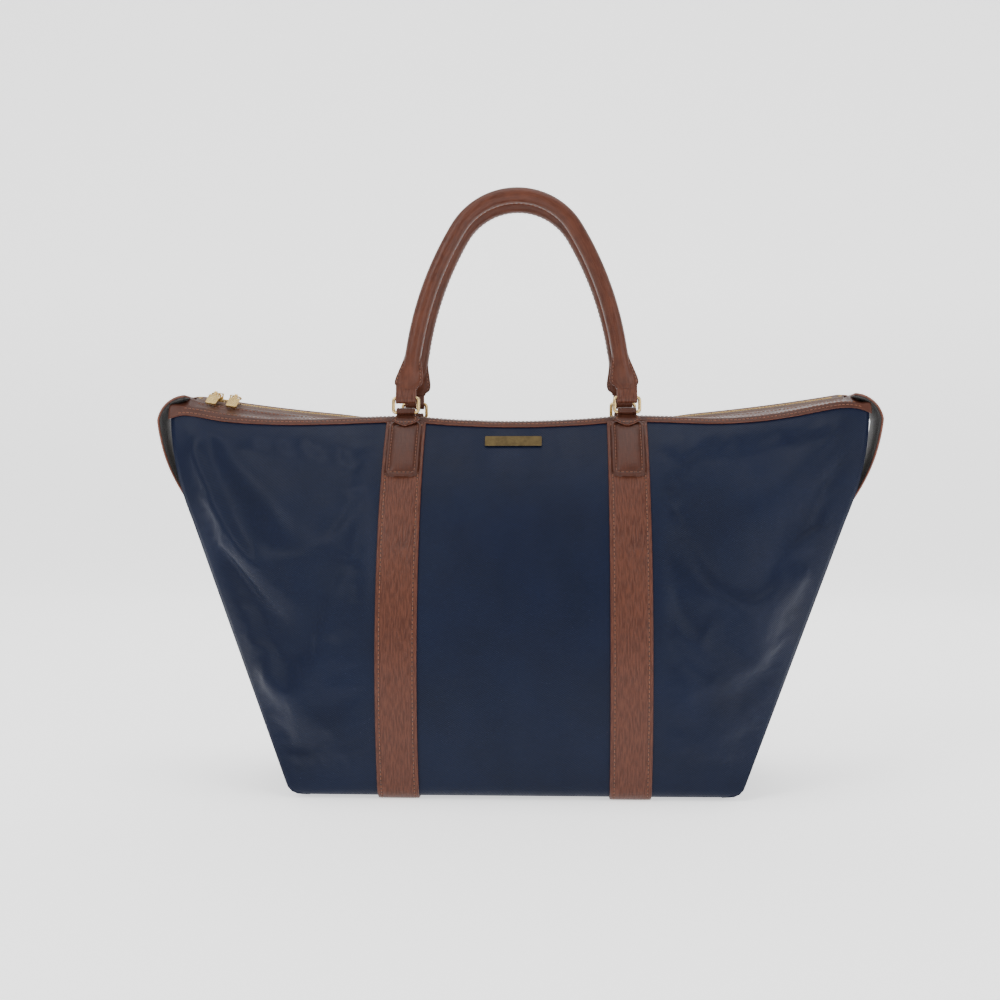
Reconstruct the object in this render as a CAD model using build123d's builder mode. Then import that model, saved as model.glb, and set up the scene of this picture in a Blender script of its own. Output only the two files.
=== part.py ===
from build123d import *
import math
import os

# Foldable travel tote bag, in millimetres.
# X runs along the bag, +X to the right seen from the front; +Y is towards the rear; +Z is up.
# The origin is the middle of the underside, on the surface that the bag stands on.

os.makedirs("parts", exist_ok=True)

# ---- driving dimensions ----
FABRIC = 1.2                 # nylon panel thickness
LEATHER = 2.0                # strap thickness
TRIM = 1.5                   # binding, facing and tab leather
FIT_GAP = 0.1                # between layers sewn to each other
LOOP_GAP = 0.3               # between a ring and the leather folded round it

TOP_HALF_DEPTH = 33.0        # front wall's top edge, from the middle plane
BASE_HALF_DEPTH = 95.0
BASE_HALF_WIDTH = 187.0
BASE_CORNER = 8.0
WALL_TOP_Z = 319.0           # top edge of the front and rear walls
WALL_BULGE = 50.0            # how far the stuffed wall stands out of its chord
KNEE = (284.0, 233.0)        # side seam: where the lower end of the end strap is fastened
SEAM_BOW = (302.0, 285.0)    # side seam: between the knee and the wing tip
WING_TIP = (309.0, 332.0)
EDGE_FLAT_X = 252.0          # the top edge is level this far out, and rises to the wing tip
GUSSET_INSET = 5.0           # gusset, sunk in from the side seam
EDGE_DROP = 1.8              # panel's cut edge, under the facing
LINING_DROP = 8.0            # lining's top edge, under the facing
LINING_SLACK = 1.6           # between gusset and lining
LINING_WALL = 0.8

ZIP_LOW_Z = 318.0            # teeth, at the middle of the sagging zip
ZIP_RADIUS = 1753.0          # of the sagging zip line, about a far centre above the bag
ZIP_HALF_X = 290.0
TAPE_EDGE_Y = 8.6
TAPE_THICK = 0.7
FACING_END_X = 294.0
TAPE_INNER_Y = 3.8
SHOULDER_Y = 21.5            # facing: it slopes down from the zip this far out, then runs to the edge
SHOULDER_DROP = 9.8
TOOTH_PITCH = 3.0
TOOTH_SIZE = (1.6, 3.0, 2.6)
TOOTH_CLEAR_Y = 0.6          # half of the slot between the two rows of teeth

STRAP_X = 96.5
STRAP_WIDTH = 34.5
BINDING_HEIGHT = 8.0
PAD_WIDTH = 29.0
PAD_LOW_Z = 268.0
PAD_TOP_Z = 317.0
PAD_THICK = 4.0
PAD_CORNER = 4.0
CHAPE_WIDTH = 17.5
CHAPE_FLARE = 1.0            # each side, at its shoulders
CHAPE_THICK = 1.8
CHAPE_TIP_Z = 310.5
CHAPE_SHOULDER_Z = 316.5

WIRE_R = 1.5                 # handle ring wire
RING_WIDTH = 24.7
RING_HEIGHT = 15.8
RING_CORNER = 2.5
RING_Z = 326.5               # handle ring's lower bar

HANDLE_LEAN = (5.0, 8.0)     # degrees, front and rear handle, towards the middle plane
HANDLE_DROP = 193.6          # lower ring bar to the middle of the tube at the top
TUBE_R = 7.15
CORE_R = 4.9
LEG_TOP = (89.0, 60.0)       # end of the handle's straight leg, above the lower ring bar
CROWN_R = 60.0               # handle's top arc
LEAF_START = 22.0
LEAF_WIDEST = 29.0
LEAF_END = 46.0
LEAF_WIDTH = 25.0
LEAF_THICK = 6.0

PLATE_SIZE = (49.0, 8.7)
PLATE_THICK = 1.4
PLATE_CORNER = 0.8
PLATE_Z = 301.0
PLATE_X = -2.0
BACKING_SIZE = (45.0, 6.7)
BACKING_THICK = 0.8

STRAP_END_WIDTH = 44.0       # end strap, across the bag
STRAP_END_TOP = (297.0, 344.0)
STRAP_END_CROWN = (315.0, 335.5)
STRAP_END_OUT = (322.0, 321.0)
STRAP_END_BOW = (311.5, 279.0)
STRAP_END_FOOT = (288.5, 238.0)
STRAP_END_FOOT_WIDTH = 30.0
STRAP_END_TAPER_Z = 301.0    # it starts to narrow here
STRAP_END_CORNER = (6.0, 10.0)  # cut off each lower corner
STRAP_LINING = 1.0

SIDE_TAB_WIDTH = 20.0
SIDE_TAB_TOP_Z = 322.0
SIDE_TAB_LOW_Z = 230.0
SIDE_TAB_STEPS = 8
SIDE_LOOP_WIDTH = 16.0
SIDE_RING_Z = 279.0
SIDE_RING_WIRE_R = 1.5
SIDE_RING_SIZE = 27.0        # outside, square
SIDE_RING_CORNER = 1.6
SIDE_RING_TILT = 15.0        # degrees, top of the ring away from the bag

STUD_CAP_R = 6.0
STUD_CAP_THICK = 1.6
STUD_POST_R = 1.6
STUD_POST_LENGTH = 5.4
STUD_HOLE_R = 2.8
STUD_SOCKET_R = 5.0
STUD_SOCKET_THICK = 3.0
STUD_SOCKET_DEPTH = 2.2      # socket's back, past the end of the post
STUD_PITCH = 25.5            # degrees, stud axis below level
STUD_CAP_AT = (294.0, 247.0)

STOP_X = 287.5
STOP_SIZE = (2.4, 6.8, 3.0)
SLIDER_SIZE = (10.0, 8.4, 1.2)
SLIDER_X = (-270.2, -259.4)
SLIDER_CLEAR = 0.5
SLIDER_POST = (3.0, 0.6)
LUG_Z = 6.1                  # middle of the link's hole, above the zip line
LUG_SIZE = (5.2, 1.0)
LUG_HOLE_R = 1.45
LINK_R = 3.9
LINK_WIRE_R = 0.7
LINK_TILT = 15.0             # degrees, front of the link ring lifted
PULL_SLOPE = 37.0            # degrees, pull tab lying on the facing
PULL_EYE_R = 1.2
PULL_EYE_OUTER_R = 2.1
PULL_EYE_WIDTH = 2.4
PULL_NECK = 3.4
PULL_WIDTH = 9.7
PULL_LENGTH = 19.5
PULL_THICK = 1.6
PULL_CORNER = 1.2
LUG_RIM = 0.6                # metal left above the link's hole
FACING_STATIONS = 14
BEYOND = 50.0                # cutting tools reach this far past what they cut
OVERLAP = 1.0                # between two pieces of one leather

# ---- derived geometry ----
BASE_Z = LEATHER + FIT_GAP
ZIP_CENTRE_Z = ZIP_LOW_Z + ZIP_RADIUS
chord_y = BASE_HALF_DEPTH - TOP_HALF_DEPTH
chord = math.hypot(chord_y, WALL_TOP_Z)
WALL_R = chord ** 2 / (8 * WALL_BULGE) + WALL_BULGE / 2
sink = (WALL_R - WALL_BULGE) / chord
WALL_CY = -(BASE_HALF_DEPTH + TOP_HALF_DEPTH) / 2 + WALL_TOP_Z * sink
WALL_CZ = WALL_TOP_Z / 2 - chord_y * sink


def wall_y(z, layer=0.0):
    """Y of the front wall's outer face at height z, moved out by layer."""
    return WALL_CY - math.sqrt((WALL_R + layer) ** 2 - (z - WALL_CZ) ** 2)


def edge_z(x):
    """Height of the top edge of the wall, x from the middle."""
    past = max(0.0, abs(x) - EDGE_FLAT_X)
    return WALL_TOP_Z + past * (WING_TIP[1] - WALL_TOP_Z) / (WING_TIP[0] - EDGE_FLAT_X)


def zip_z(x):
    """Height of the zip line, x from the middle."""
    return ZIP_CENTRE_Z - math.sqrt(ZIP_RADIUS ** 2 - x ** 2)


def seam_x(z, inset=0.0):
    """X of the right side seam at height z, moved in by inset."""
    if z <= KNEE[1]:
        x = BASE_HALF_WIDTH + (KNEE[0] - BASE_HALF_WIDTH) * (z - BASE_Z) / (KNEE[1] - BASE_Z)
    else:
        t = (z - KNEE[1]) / (WING_TIP[1] - KNEE[1])
        bow = SEAM_BOW[0] - (KNEE[0] + WING_TIP[0]) / 2
        x = KNEE[0] + t * (WING_TIP[0] - KNEE[0]) + bow * 4 * t * (1 - t)
    return x - inset


def save(part, name):
    """Label one finished piece and write it."""
    part.label = name
    export_step(part, "parts/" + name + ".step")


def mirrored(part, plane):
    """The same piece on the other side of a plane."""
    with BuildPart() as other:
        mirror(part, about=plane)
    return other.part


def wall_layer(low, high, half_length):
    """Full drum between two layers of the front wall, to be cut to an outline."""
    with BuildSketch(Plane.YZ) as profile:
        with Locations((WALL_CY, WALL_CZ)):
            Circle(WALL_R + high)
            Circle(WALL_R + low, mode=Mode.SUBTRACT)
    return extrude(profile.sketch, amount=half_length, both=True)


def cut_layer(outline, low, high):
    """Piece that lies on the front wall, between two layers, with this outline seen from the front."""
    with BuildPart() as piece:
        add(wall_layer(low, high, WING_TIP[0] + BEYOND))
        extrude(outline, amount=WALL_R, mode=Mode.INTERSECT)
    return piece.part


def side_curve(inset, low_z):
    """Right side seam from low_z to the wing tip, moved in by inset."""
    foot = (seam_x(low_z, inset), low_z)
    knee = (KNEE[0] - inset, KNEE[1])
    bow = (SEAM_BOW[0] - inset, SEAM_BOW[1])
    tip = (WING_TIP[0] - inset, WING_TIP[1])
    return foot, knee, bow, tip


def body_outline(inset, low_z, top_drop):
    """Front view of the bag's body, in from the side seams and down from the top edge."""
    foot, knee, bow, tip = side_curve(inset, low_z)
    with BuildSketch(Plane.XZ) as sketch:
        with BuildLine():
            Line((-foot[0], foot[1]), foot)
            Line(foot, knee)
            ThreePointArc(knee, bow, (tip[0], tip[1] - top_drop))
            Line((tip[0], tip[1] - top_drop), (EDGE_FLAT_X, WALL_TOP_Z - top_drop))
            Line((EDGE_FLAT_X, WALL_TOP_Z - top_drop), (-EDGE_FLAT_X, WALL_TOP_Z - top_drop))
            Line((-EDGE_FLAT_X, WALL_TOP_Z - top_drop), (-tip[0], tip[1] - top_drop))
            ThreePointArc((-tip[0], tip[1] - top_drop), (-bow[0], bow[1]), (-knee[0], knee[1]))
            Line((-knee[0], knee[1]), (-foot[0], foot[1]))
        make_face()
    return sketch.sketch


def bag_lens(layer, outline):
    """Space between the front and rear walls, out to a wall layer, with this outline."""
    with BuildPart() as lens:
        with BuildSketch(Plane.YZ):
            with Locations((WALL_CY, WALL_CZ)):
                Circle(WALL_R + layer)
        extrude(amount=WING_TIP[0] + BEYOND, both=True)
        with BuildSketch(Plane.YZ):
            with Locations((-WALL_CY, WALL_CZ)):
                Circle(WALL_R + layer)
        extrude(amount=WING_TIP[0] + BEYOND, both=True, mode=Mode.INTERSECT)
        extrude(outline, amount=WALL_R, both=True, mode=Mode.INTERSECT)
    return lens.part


# ---- body panels ----
front_panel = cut_layer(body_outline(0, BASE_Z, EDGE_DROP), -FABRIC, 0)
save(front_panel, "front_panel")
save(mirrored(front_panel, Plane.XZ), "rear_panel")

with BuildSketch(Plane.XZ) as gusset_band:
    outer_foot, outer_knee, outer_bow, outer_tip = side_curve(GUSSET_INSET, BASE_Z)
    inner_foot, inner_knee, inner_bow, inner_tip = side_curve(GUSSET_INSET + FABRIC, BASE_Z)
    with BuildLine():
        Line(outer_foot, outer_knee)
        ThreePointArc(outer_knee, outer_bow, outer_tip)
        Line(outer_tip, inner_tip)
        ThreePointArc(inner_tip, inner_bow, inner_knee)
        Line(inner_knee, inner_foot)
        Line(inner_foot, outer_foot)
    make_face()
right_gusset = bag_lens(-FABRIC - FIT_GAP, gusset_band.sketch)
save(right_gusset, "right_gusset")
save(mirrored(right_gusset, Plane.YZ), "left_gusset")

base_half_x = seam_x(BASE_Z, GUSSET_INSET + FABRIC + 2 * FIT_GAP)
base_half_y = -wall_y(BASE_Z, -FABRIC - 2 * FIT_GAP)
with BuildPart() as base_panel:
    with BuildSketch(Plane.XY.offset(BASE_Z)):
        RectangleRounded(2 * base_half_x, 2 * base_half_y, BASE_CORNER)
    extrude(amount=FABRIC)
save(base_panel.part, "base_panel")

lining_layer = -FABRIC - 4 * FIT_GAP
lining_inset = GUSSET_INSET + FABRIC + LINING_SLACK
lining_z = BASE_Z + FABRIC + 2 * FIT_GAP
with BuildPart() as lining:
    add(bag_lens(lining_layer, body_outline(lining_inset, lining_z, LINING_DROP)))
    add(
        bag_lens(lining_layer - LINING_WALL, body_outline(lining_inset + LINING_WALL, lining_z + LINING_WALL, 0)),
        mode=Mode.SUBTRACT,
    )
save(lining.part, "lining")

# ---- top edge bindings ----
with BuildSketch(Plane.XZ) as binding_outline:
    end_x = WING_TIP[0] - 3
    flat_top = WALL_TOP_Z - FIT_GAP
    end_top = edge_z(end_x) - FIT_GAP
    with BuildLine():
        Polyline(
            (-end_x, end_top - BINDING_HEIGHT),
            (-EDGE_FLAT_X, flat_top - BINDING_HEIGHT),
            (EDGE_FLAT_X, flat_top - BINDING_HEIGHT),
            (end_x, end_top - BINDING_HEIGHT),
            (end_x, end_top),
            (EDGE_FLAT_X, flat_top),
            (-EDGE_FLAT_X, flat_top),
            (-end_x, end_top),
            close=True,
        )
    make_face()
front_binding = cut_layer(binding_outline.sketch, FIT_GAP, FIT_GAP + TRIM)
save(front_binding, "front_top_binding")
save(mirrored(front_binding, Plane.XZ), "rear_top_binding")

# ---- zip facings: leather from the top edge up to the zip tape, steep at the ends ----
stations = [FACING_END_X * (2 * k / FACING_STATIONS - 1) for k in range(FACING_STATIONS + 1)]
with BuildPart() as front_facing:
    for x in stations:
        shoulder_z = zip_z(x) - SHOULDER_DROP
        with BuildSketch(Plane.YZ.offset(x)):
            with BuildLine():
                Polyline(
                    (-TAPE_EDGE_Y - 0.2, zip_z(x) - TRIM / 2),
                    (-TAPE_EDGE_Y - 0.2, zip_z(x) + TRIM / 2),
                    (-SHOULDER_Y, shoulder_z + TRIM / 2),
                    (wall_y(edge_z(x)), edge_z(x) + 0.2 + TRIM),
                    (wall_y(edge_z(x)), edge_z(x) + 0.2),
                    (-SHOULDER_Y, shoulder_z - TRIM / 2),
                    close=True,
                )
            make_face()
    loft(ruled=True)
save(front_facing.part, "front_zip_facing")
save(mirrored(front_facing.part, Plane.XZ), "rear_zip_facing")

# ---- zip ----
zip_axis = Axis((0, 0, ZIP_CENTRE_Z), (0, 1, 0))
zip_half_angle = math.degrees(math.asin(ZIP_HALF_X / ZIP_RADIUS))
tape_start = Plane(
    origin=(-ZIP_HALF_X, 0, zip_z(ZIP_HALF_X)),
    x_dir=(0, 1, 0),
    z_dir=(-math.cos(math.radians(zip_half_angle)), 0, math.sin(math.radians(zip_half_angle))),
)
with BuildPart() as front_tape:
    with BuildSketch(tape_start):
        with Locations((-(TAPE_EDGE_Y + TAPE_INNER_Y) / 2, 0)):
            Rectangle(TAPE_EDGE_Y - TAPE_INNER_Y, TAPE_THICK)
    revolve(axis=zip_axis, revolution_arc=-2 * zip_half_angle)
save(front_tape.part, "front_zip_tape")
save(mirrored(front_tape.part, Plane.XZ), "rear_zip_tape")

tooth_angle = math.degrees(TOOTH_PITCH / ZIP_RADIUS)
tooth_count = int((ZIP_HALF_X - 6) / TOOTH_PITCH)
tooth_y = TOOTH_CLEAR_Y + TOOTH_SIZE[1] / 2


def teeth(y, shift):
    """One row of teeth on the zip line, shifted along it by a share of the pitch."""
    with BuildPart() as row:
        with Locations(Plane.XZ.offset(-y)):
            with Locations((0, ZIP_CENTRE_Z)):
                with PolarLocations(
                    ZIP_RADIUS,
                    2 * tooth_count,
                    start_angle=-90 - tooth_angle * (tooth_count - shift),
                    angular_range=2 * tooth_count * tooth_angle,
                ):
                    Box(TOOTH_SIZE[2], TOOTH_SIZE[0], TOOTH_SIZE[1])
    return row.part


save(teeth(-tooth_y, 0.25), "front_zip_teeth")
save(teeth(tooth_y, 0.75), "rear_zip_teeth")

with BuildPart() as zip_stops:
    for side in (-1, 1):
        stop_x = side * STOP_X
        with Locations(Location((stop_x, 0, zip_z(stop_x)))):
            Box(STOP_SIZE[0], STOP_SIZE[1], STOP_SIZE[2])
save(zip_stops.part, "zip_end_stops")

# ---- straps under and up the bag ----
strap_top_z = WALL_TOP_Z - BINDING_HEIGHT - 2 * FIT_GAP
strap_foot_y = -wall_y(BASE_Z, FIT_GAP + LEATHER)


def strap_nodes(x, name):
    """Front, base and rear lengths of one leather strap."""
    with BuildSketch(Plane.XZ) as outline:
        with Locations((x, (BASE_Z + strap_top_z) / 2)):
            Rectangle(STRAP_WIDTH, strap_top_z - BASE_Z)
    front = cut_layer(outline.sketch, FIT_GAP, FIT_GAP + LEATHER)
    save(front, "front_strap_" + name)
    save(mirrored(front, Plane.XZ), "rear_strap_" + name)
    with BuildPart() as base:
        with BuildSketch(Plane.XY):
            with Locations((x, 0)):
                Rectangle(STRAP_WIDTH, 2 * strap_foot_y)
        extrude(amount=LEATHER)
    save(base.part, "base_strap_" + name)


# ---- pads, chapes and rings that carry the handles ----
pad_low = LEATHER + 2 * FIT_GAP
pad_high = pad_low + PAD_THICK
chape_low = pad_high + FIT_GAP
eye_r = WIRE_R + LOOP_GAP
eye_outer_r = eye_r + CHAPE_THICK
RING_Y = wall_y(RING_Z, chape_low + eye_outer_r)


def pad_node(x):
    """Padded leather patch at the top of a strap."""
    with BuildSketch(Plane.XZ) as outline:
        with Locations((x, (PAD_LOW_Z + PAD_TOP_Z) / 2)):
            RectangleRounded(PAD_WIDTH, PAD_TOP_Z - PAD_LOW_Z, PAD_CORNER)
    return cut_layer(outline.sketch, pad_low, pad_high)


def chape_node(x):
    """Leather loop: sewn to the pad in a point, and folded round the ring's lower bar."""
    half = CHAPE_WIDTH / 2
    with BuildSketch(Plane.XZ) as outline:
        with BuildLine():
            Polyline(
                (x - half, RING_Z),
                (x - half - CHAPE_FLARE, CHAPE_SHOULDER_Z),
                (x, CHAPE_TIP_Z),
                (x + half + CHAPE_FLARE, CHAPE_SHOULDER_Z),
                (x + half, RING_Z),
                close=True,
            )
        make_face()
    leg = cut_layer(outline.sketch, chape_low, chape_low + CHAPE_THICK)
    with BuildPart() as chape:
        add(leg)
        with BuildSketch(Plane.YZ.offset(x)):
            with Locations((RING_Y, RING_Z)):
                Circle(eye_outer_r)
        extrude(amount=half, both=True)
        with BuildSketch(Plane.YZ.offset(x)):
            with Locations((RING_Y, RING_Z)):
                Circle(eye_r)
        extrude(amount=CHAPE_WIDTH, both=True, mode=Mode.SUBTRACT)
    return chape.part


def handle_plane(lean):
    """Plane of a front handle: X along the bag, Y up the handle from the lower ring bar."""
    tilt = math.radians(lean)
    return Plane(origin=(0, RING_Y, RING_Z), x_dir=(1, 0, 0), z_dir=(0, -math.cos(tilt), math.sin(tilt)))


def round_bar_ring(plane, centre, width, height, corner, wire_r):
    """Closed ring of round wire: a rectangle with round corners, in a plane, by its centreline size."""
    with BuildSketch(plane) as shape:
        with Locations(centre):
            RectangleRounded(width, height, corner)
    path = shape.sketch.faces()[0].outer_wire()
    with BuildPart() as ring:
        with BuildSketch(Plane(origin=path @ 0, z_dir=path % 0)):
            Circle(wire_r)
        sweep(path=path)
    return ring.part


bar_gap = RING_HEIGHT - 2 * WIRE_R


def handle_ring(x, lean):
    """Brass ring between a chape and a handle."""
    return round_bar_ring(
        handle_plane(lean), (x, bar_gap / 2), RING_WIDTH - 2 * WIRE_R, bar_gap, RING_CORNER, WIRE_R
    )


# ---- handles ----
leg_dx = STRAP_X - LEG_TOP[0]
leg_dy = LEG_TOP[1] - bar_gap
leg_dir = (-leg_dx / math.hypot(leg_dx, leg_dy), leg_dy / math.hypot(leg_dx, leg_dy))
crown_y = HANDLE_DROP - CROWN_R - LEG_TOP[1]
side_r = (LEG_TOP[0] ** 2 + crown_y ** 2 - CROWN_R ** 2) / (
    2 * (LEG_TOP[0] * leg_dir[1] + crown_y * leg_dir[0] - CROWN_R)
)


def leg_x(y):
    """Middle of the right leg, y up the handle."""
    return STRAP_X - leg_dx * (y - bar_gap) / leg_dy


def handle_path(plane, start_y):
    """Centreline of the rolled handle: leg, side arc, crown arc, side arc, leg."""
    centre = (LEG_TOP[0] - side_r * leg_dir[1], LEG_TOP[1] + side_r * leg_dir[0])
    crown = (0, HANDLE_DROP - CROWN_R)
    lean = math.degrees(math.atan2(-leg_dir[0], leg_dir[1]))
    turn = math.degrees(math.atan2(crown[1] - centre[1], crown[0] - centre[0])) - lean
    with BuildLine(plane) as path:
        leg = Line((leg_x(start_y), start_y), LEG_TOP)
        side = JernArc(leg @ 1, leg % 1, side_r, turn)
        top = JernArc(side @ 1, side % 1, CROWN_R, 180 - 2 * (lean + turn))
        other = JernArc(top @ 1, top % 1, side_r, turn)
        Line(other @ 1, plane.from_local_coords((-leg_x(start_y), start_y, 0)))
    return path.wires()[0]


def handle_tube(lean, start_y, outer_r, inner_r):
    """Round section swept along the handle, hollow if inner_r isn't zero."""
    plane = handle_plane(lean)
    start = plane.from_local_coords((leg_x(start_y), start_y, 0))
    path = handle_path(plane, start_y)
    with BuildPart() as tube:
        with BuildSketch(Plane(origin=start, x_dir=plane.z_dir, z_dir=path % 0)):
            Circle(outer_r)
            if inner_r > 0:
                Circle(inner_r, mode=Mode.SUBTRACT)
        sweep(path=path)
    return tube.part


def handle_leather(lean):
    """Rolled leather with a flattened leaf and a tab folded round the ring at each end."""
    plane = handle_plane(lean)
    with BuildPart() as handle:
        add(handle_tube(lean, LEAF_END, TUBE_R, CORE_R + FIT_GAP))
        for side in (-1, 1):
            half_tab = CHAPE_WIDTH / 2
            with BuildSketch(plane):
                with BuildLine():
                    Polyline(
                        (side * (leg_x(LEAF_START) - half_tab), LEAF_START),
                        (side * (leg_x(LEAF_WIDEST) - LEAF_WIDTH / 2), LEAF_WIDEST),
                        (side * (leg_x(LEAF_END) - TUBE_R), LEAF_END),
                        (side * (leg_x(LEAF_END) + TUBE_R), LEAF_END),
                        (side * (leg_x(LEAF_WIDEST) + LEAF_WIDTH / 2), LEAF_WIDEST),
                        (side * (leg_x(LEAF_START) + half_tab), LEAF_START),
                        close=True,
                    )
                make_face()
            extrude(amount=LEAF_THICK / 2, both=True)
            with BuildSketch(plane):
                with Locations((side * STRAP_X, (bar_gap + LEAF_START + OVERLAP) / 2)):
                    Rectangle(CHAPE_WIDTH, LEAF_START + OVERLAP - bar_gap)
            extrude(amount=CHAPE_THICK, both=True)
            eye = plane.from_local_coords((side * STRAP_X, bar_gap, 0))
            with Locations(Location(eye)):
                Cylinder(eye_outer_r, CHAPE_WIDTH, rotation=(0, 90, 0))
                Cylinder(eye_r, 2 * CHAPE_WIDTH, rotation=(0, 90, 0), mode=Mode.SUBTRACT)
    return handle.part


for name, x in (("left", -STRAP_X), ("right", STRAP_X)):
    strap_nodes(x, name)
    pad = pad_node(x)
    chape = chape_node(x)
    save(pad, "front_pad_" + name)
    save(mirrored(pad, Plane.XZ), "rear_pad_" + name)
    save(chape, "front_chape_" + name)
    save(mirrored(chape, Plane.XZ), "rear_chape_" + name)
    save(handle_ring(x, HANDLE_LEAN[0]), "front_ring_" + name)
    save(mirrored(handle_ring(x, HANDLE_LEAN[1]), Plane.XZ), "rear_ring_" + name)

save(handle_leather(HANDLE_LEAN[0]), "front_handle")
save(mirrored(handle_leather(HANDLE_LEAN[1]), Plane.XZ), "rear_handle")
save(handle_tube(HANDLE_LEAN[0], LEAF_END + OVERLAP, CORE_R, 0), "front_handle_core")
save(mirrored(handle_tube(HANDLE_LEAN[1], LEAF_END + OVERLAP, CORE_R, 0), Plane.XZ), "rear_handle_core")

# ---- brass plate and the washer plate behind the fabric ----
with BuildSketch(Plane.XZ) as plate_outline:
    with Locations((PLATE_X, PLATE_Z)):
        RectangleRounded(PLATE_SIZE[0], PLATE_SIZE[1], PLATE_CORNER)
save(cut_layer(plate_outline.sketch, FIT_GAP, FIT_GAP + PLATE_THICK), "brass_plate")
with BuildSketch(Plane.XZ) as backing_outline:
    with Locations((PLATE_X, PLATE_Z)):
        Rectangle(BACKING_SIZE[0], BACKING_SIZE[1])
backing_layer = lining_layer - LINING_WALL - FIT_GAP
save(cut_layer(backing_outline.sketch, backing_layer - BACKING_THICK, backing_layer), "plate_backing")

# ---- side tabs, rings, end straps and studs, drawn on the right and mirrored ----
tab_inset = GUSSET_INSET - 2 * FIT_GAP
side_eye_r = SIDE_RING_WIRE_R + LOOP_GAP
side_eye_outer_r = side_eye_r + CHAPE_THICK
side_ring_x = seam_x(SIDE_RING_Z, tab_inset) + side_eye_outer_r


def tab_outline():
    """Side view of the right side tab: it follows the gusset, and is folded round the ring's bar."""
    rise = (SIDE_TAB_TOP_Z - SIDE_TAB_LOW_Z) / SIDE_TAB_STEPS
    heights = [SIDE_TAB_LOW_Z + rise * k for k in range(SIDE_TAB_STEPS + 1)]
    inner = [(seam_x(z, tab_inset), z) for z in heights]
    outer = [(seam_x(z, tab_inset - TRIM), z) for z in reversed(heights)]
    return inner + outer


with BuildPart() as side_tab:
    with BuildSketch(Plane.XZ):
        with BuildLine():
            Polyline(*tab_outline(), close=True)
        make_face()
    extrude(amount=SIDE_TAB_WIDTH / 2, both=True)
    with BuildSketch(Plane.XZ):
        with Locations((side_ring_x, SIDE_RING_Z)):
            Circle(side_eye_outer_r)
    extrude(amount=SIDE_LOOP_WIDTH / 2, both=True)
    with BuildSketch(Plane.XZ):
        with Locations((side_ring_x, SIDE_RING_Z)):
            Circle(side_eye_r)
    extrude(amount=SIDE_TAB_WIDTH, both=True, mode=Mode.SUBTRACT)
save(side_tab.part, "right_side_tab")
save(mirrored(side_tab.part, Plane.YZ), "left_side_tab")

ring_span = SIDE_RING_SIZE - 2 * SIDE_RING_WIRE_R
ring_tilt = math.radians(SIDE_RING_TILT)
side_ring_plane = Plane(
    origin=(side_ring_x, 0, SIDE_RING_Z),
    x_dir=(0, 1, 0),
    z_dir=(math.cos(ring_tilt), 0, -math.sin(ring_tilt)),
)
side_ring = round_bar_ring(
    side_ring_plane, (0, ring_span / 2), ring_span, ring_span, SIDE_RING_CORNER, SIDE_RING_WIRE_R
)
save(side_ring, "right_side_ring")
save(mirrored(side_ring, Plane.YZ), "left_side_ring")


def end_strap_face(depth):
    """Side view of the right end strap, from its outer face in to a depth."""
    with BuildSketch(Plane.XZ) as band:
        with BuildLine():
            crown = ThreePointArc(STRAP_END_TOP, STRAP_END_CROWN, STRAP_END_OUT)
            ThreePointArc(crown @ 1, STRAP_END_BOW, STRAP_END_FOOT)
            offset(amount=depth, side=Side.RIGHT)
        make_face()
    return band.sketch


with BuildSketch(Plane.YZ) as end_strap_outline:
    half_top = STRAP_END_WIDTH / 2
    half_foot = STRAP_END_FOOT_WIDTH / 2
    cut_z = STRAP_END_FOOT[1] - 2 * LEATHER
    with BuildLine():
        Polyline(
            (-half_top, STRAP_END_TOP[1] + BEYOND),
            (-half_top, STRAP_END_TAPER_Z),
            (-half_foot, cut_z + STRAP_END_CORNER[1]),
            (-half_foot + STRAP_END_CORNER[0], cut_z),
            (half_foot - STRAP_END_CORNER[0], cut_z),
            (half_foot, cut_z + STRAP_END_CORNER[1]),
            (half_top, STRAP_END_TAPER_Z),
            (half_top, STRAP_END_TOP[1] + BEYOND),
            close=True,
        )
    make_face()

with BuildPart() as end_strap:
    extrude(end_strap_face(LEATHER), amount=STRAP_END_WIDTH / 2, both=True)
    extrude(end_strap_outline.sketch, amount=WING_TIP[0] + BEYOND, mode=Mode.INTERSECT)
save(end_strap.part, "right_end_strap")
save(mirrored(end_strap.part, Plane.YZ), "left_end_strap")

with BuildPart() as end_lining:
    extrude(end_strap_face(LEATHER + FIT_GAP + STRAP_LINING), amount=STRAP_END_WIDTH / 2, both=True)
    extrude(end_strap_face(LEATHER + FIT_GAP), amount=STRAP_END_WIDTH, both=True, mode=Mode.SUBTRACT)
    extrude(end_strap_outline.sketch, amount=WING_TIP[0] + BEYOND, mode=Mode.INTERSECT)
save(end_lining.part, "right_end_strap_lining")
save(mirrored(end_lining.part, Plane.YZ), "left_end_strap_lining")

stud_tilt = math.radians(STUD_PITCH)
stud_axis = Vector(math.cos(stud_tilt), 0, -math.sin(stud_tilt))
stud_plane = Plane(origin=(STUD_CAP_AT[0], 0, STUD_CAP_AT[1]), x_dir=(0, 1, 0), z_dir=stud_axis)
with BuildPart() as stud_cap:
    with BuildSketch(stud_plane):
        Circle(STUD_CAP_R)
    extrude(amount=STUD_CAP_THICK)
    with BuildSketch(stud_plane):
        Circle(STUD_POST_R)
    extrude(amount=-STUD_POST_LENGTH)
save(stud_cap.part, "right_stud_cap")
save(mirrored(stud_cap.part, Plane.YZ), "left_stud_cap")

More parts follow.
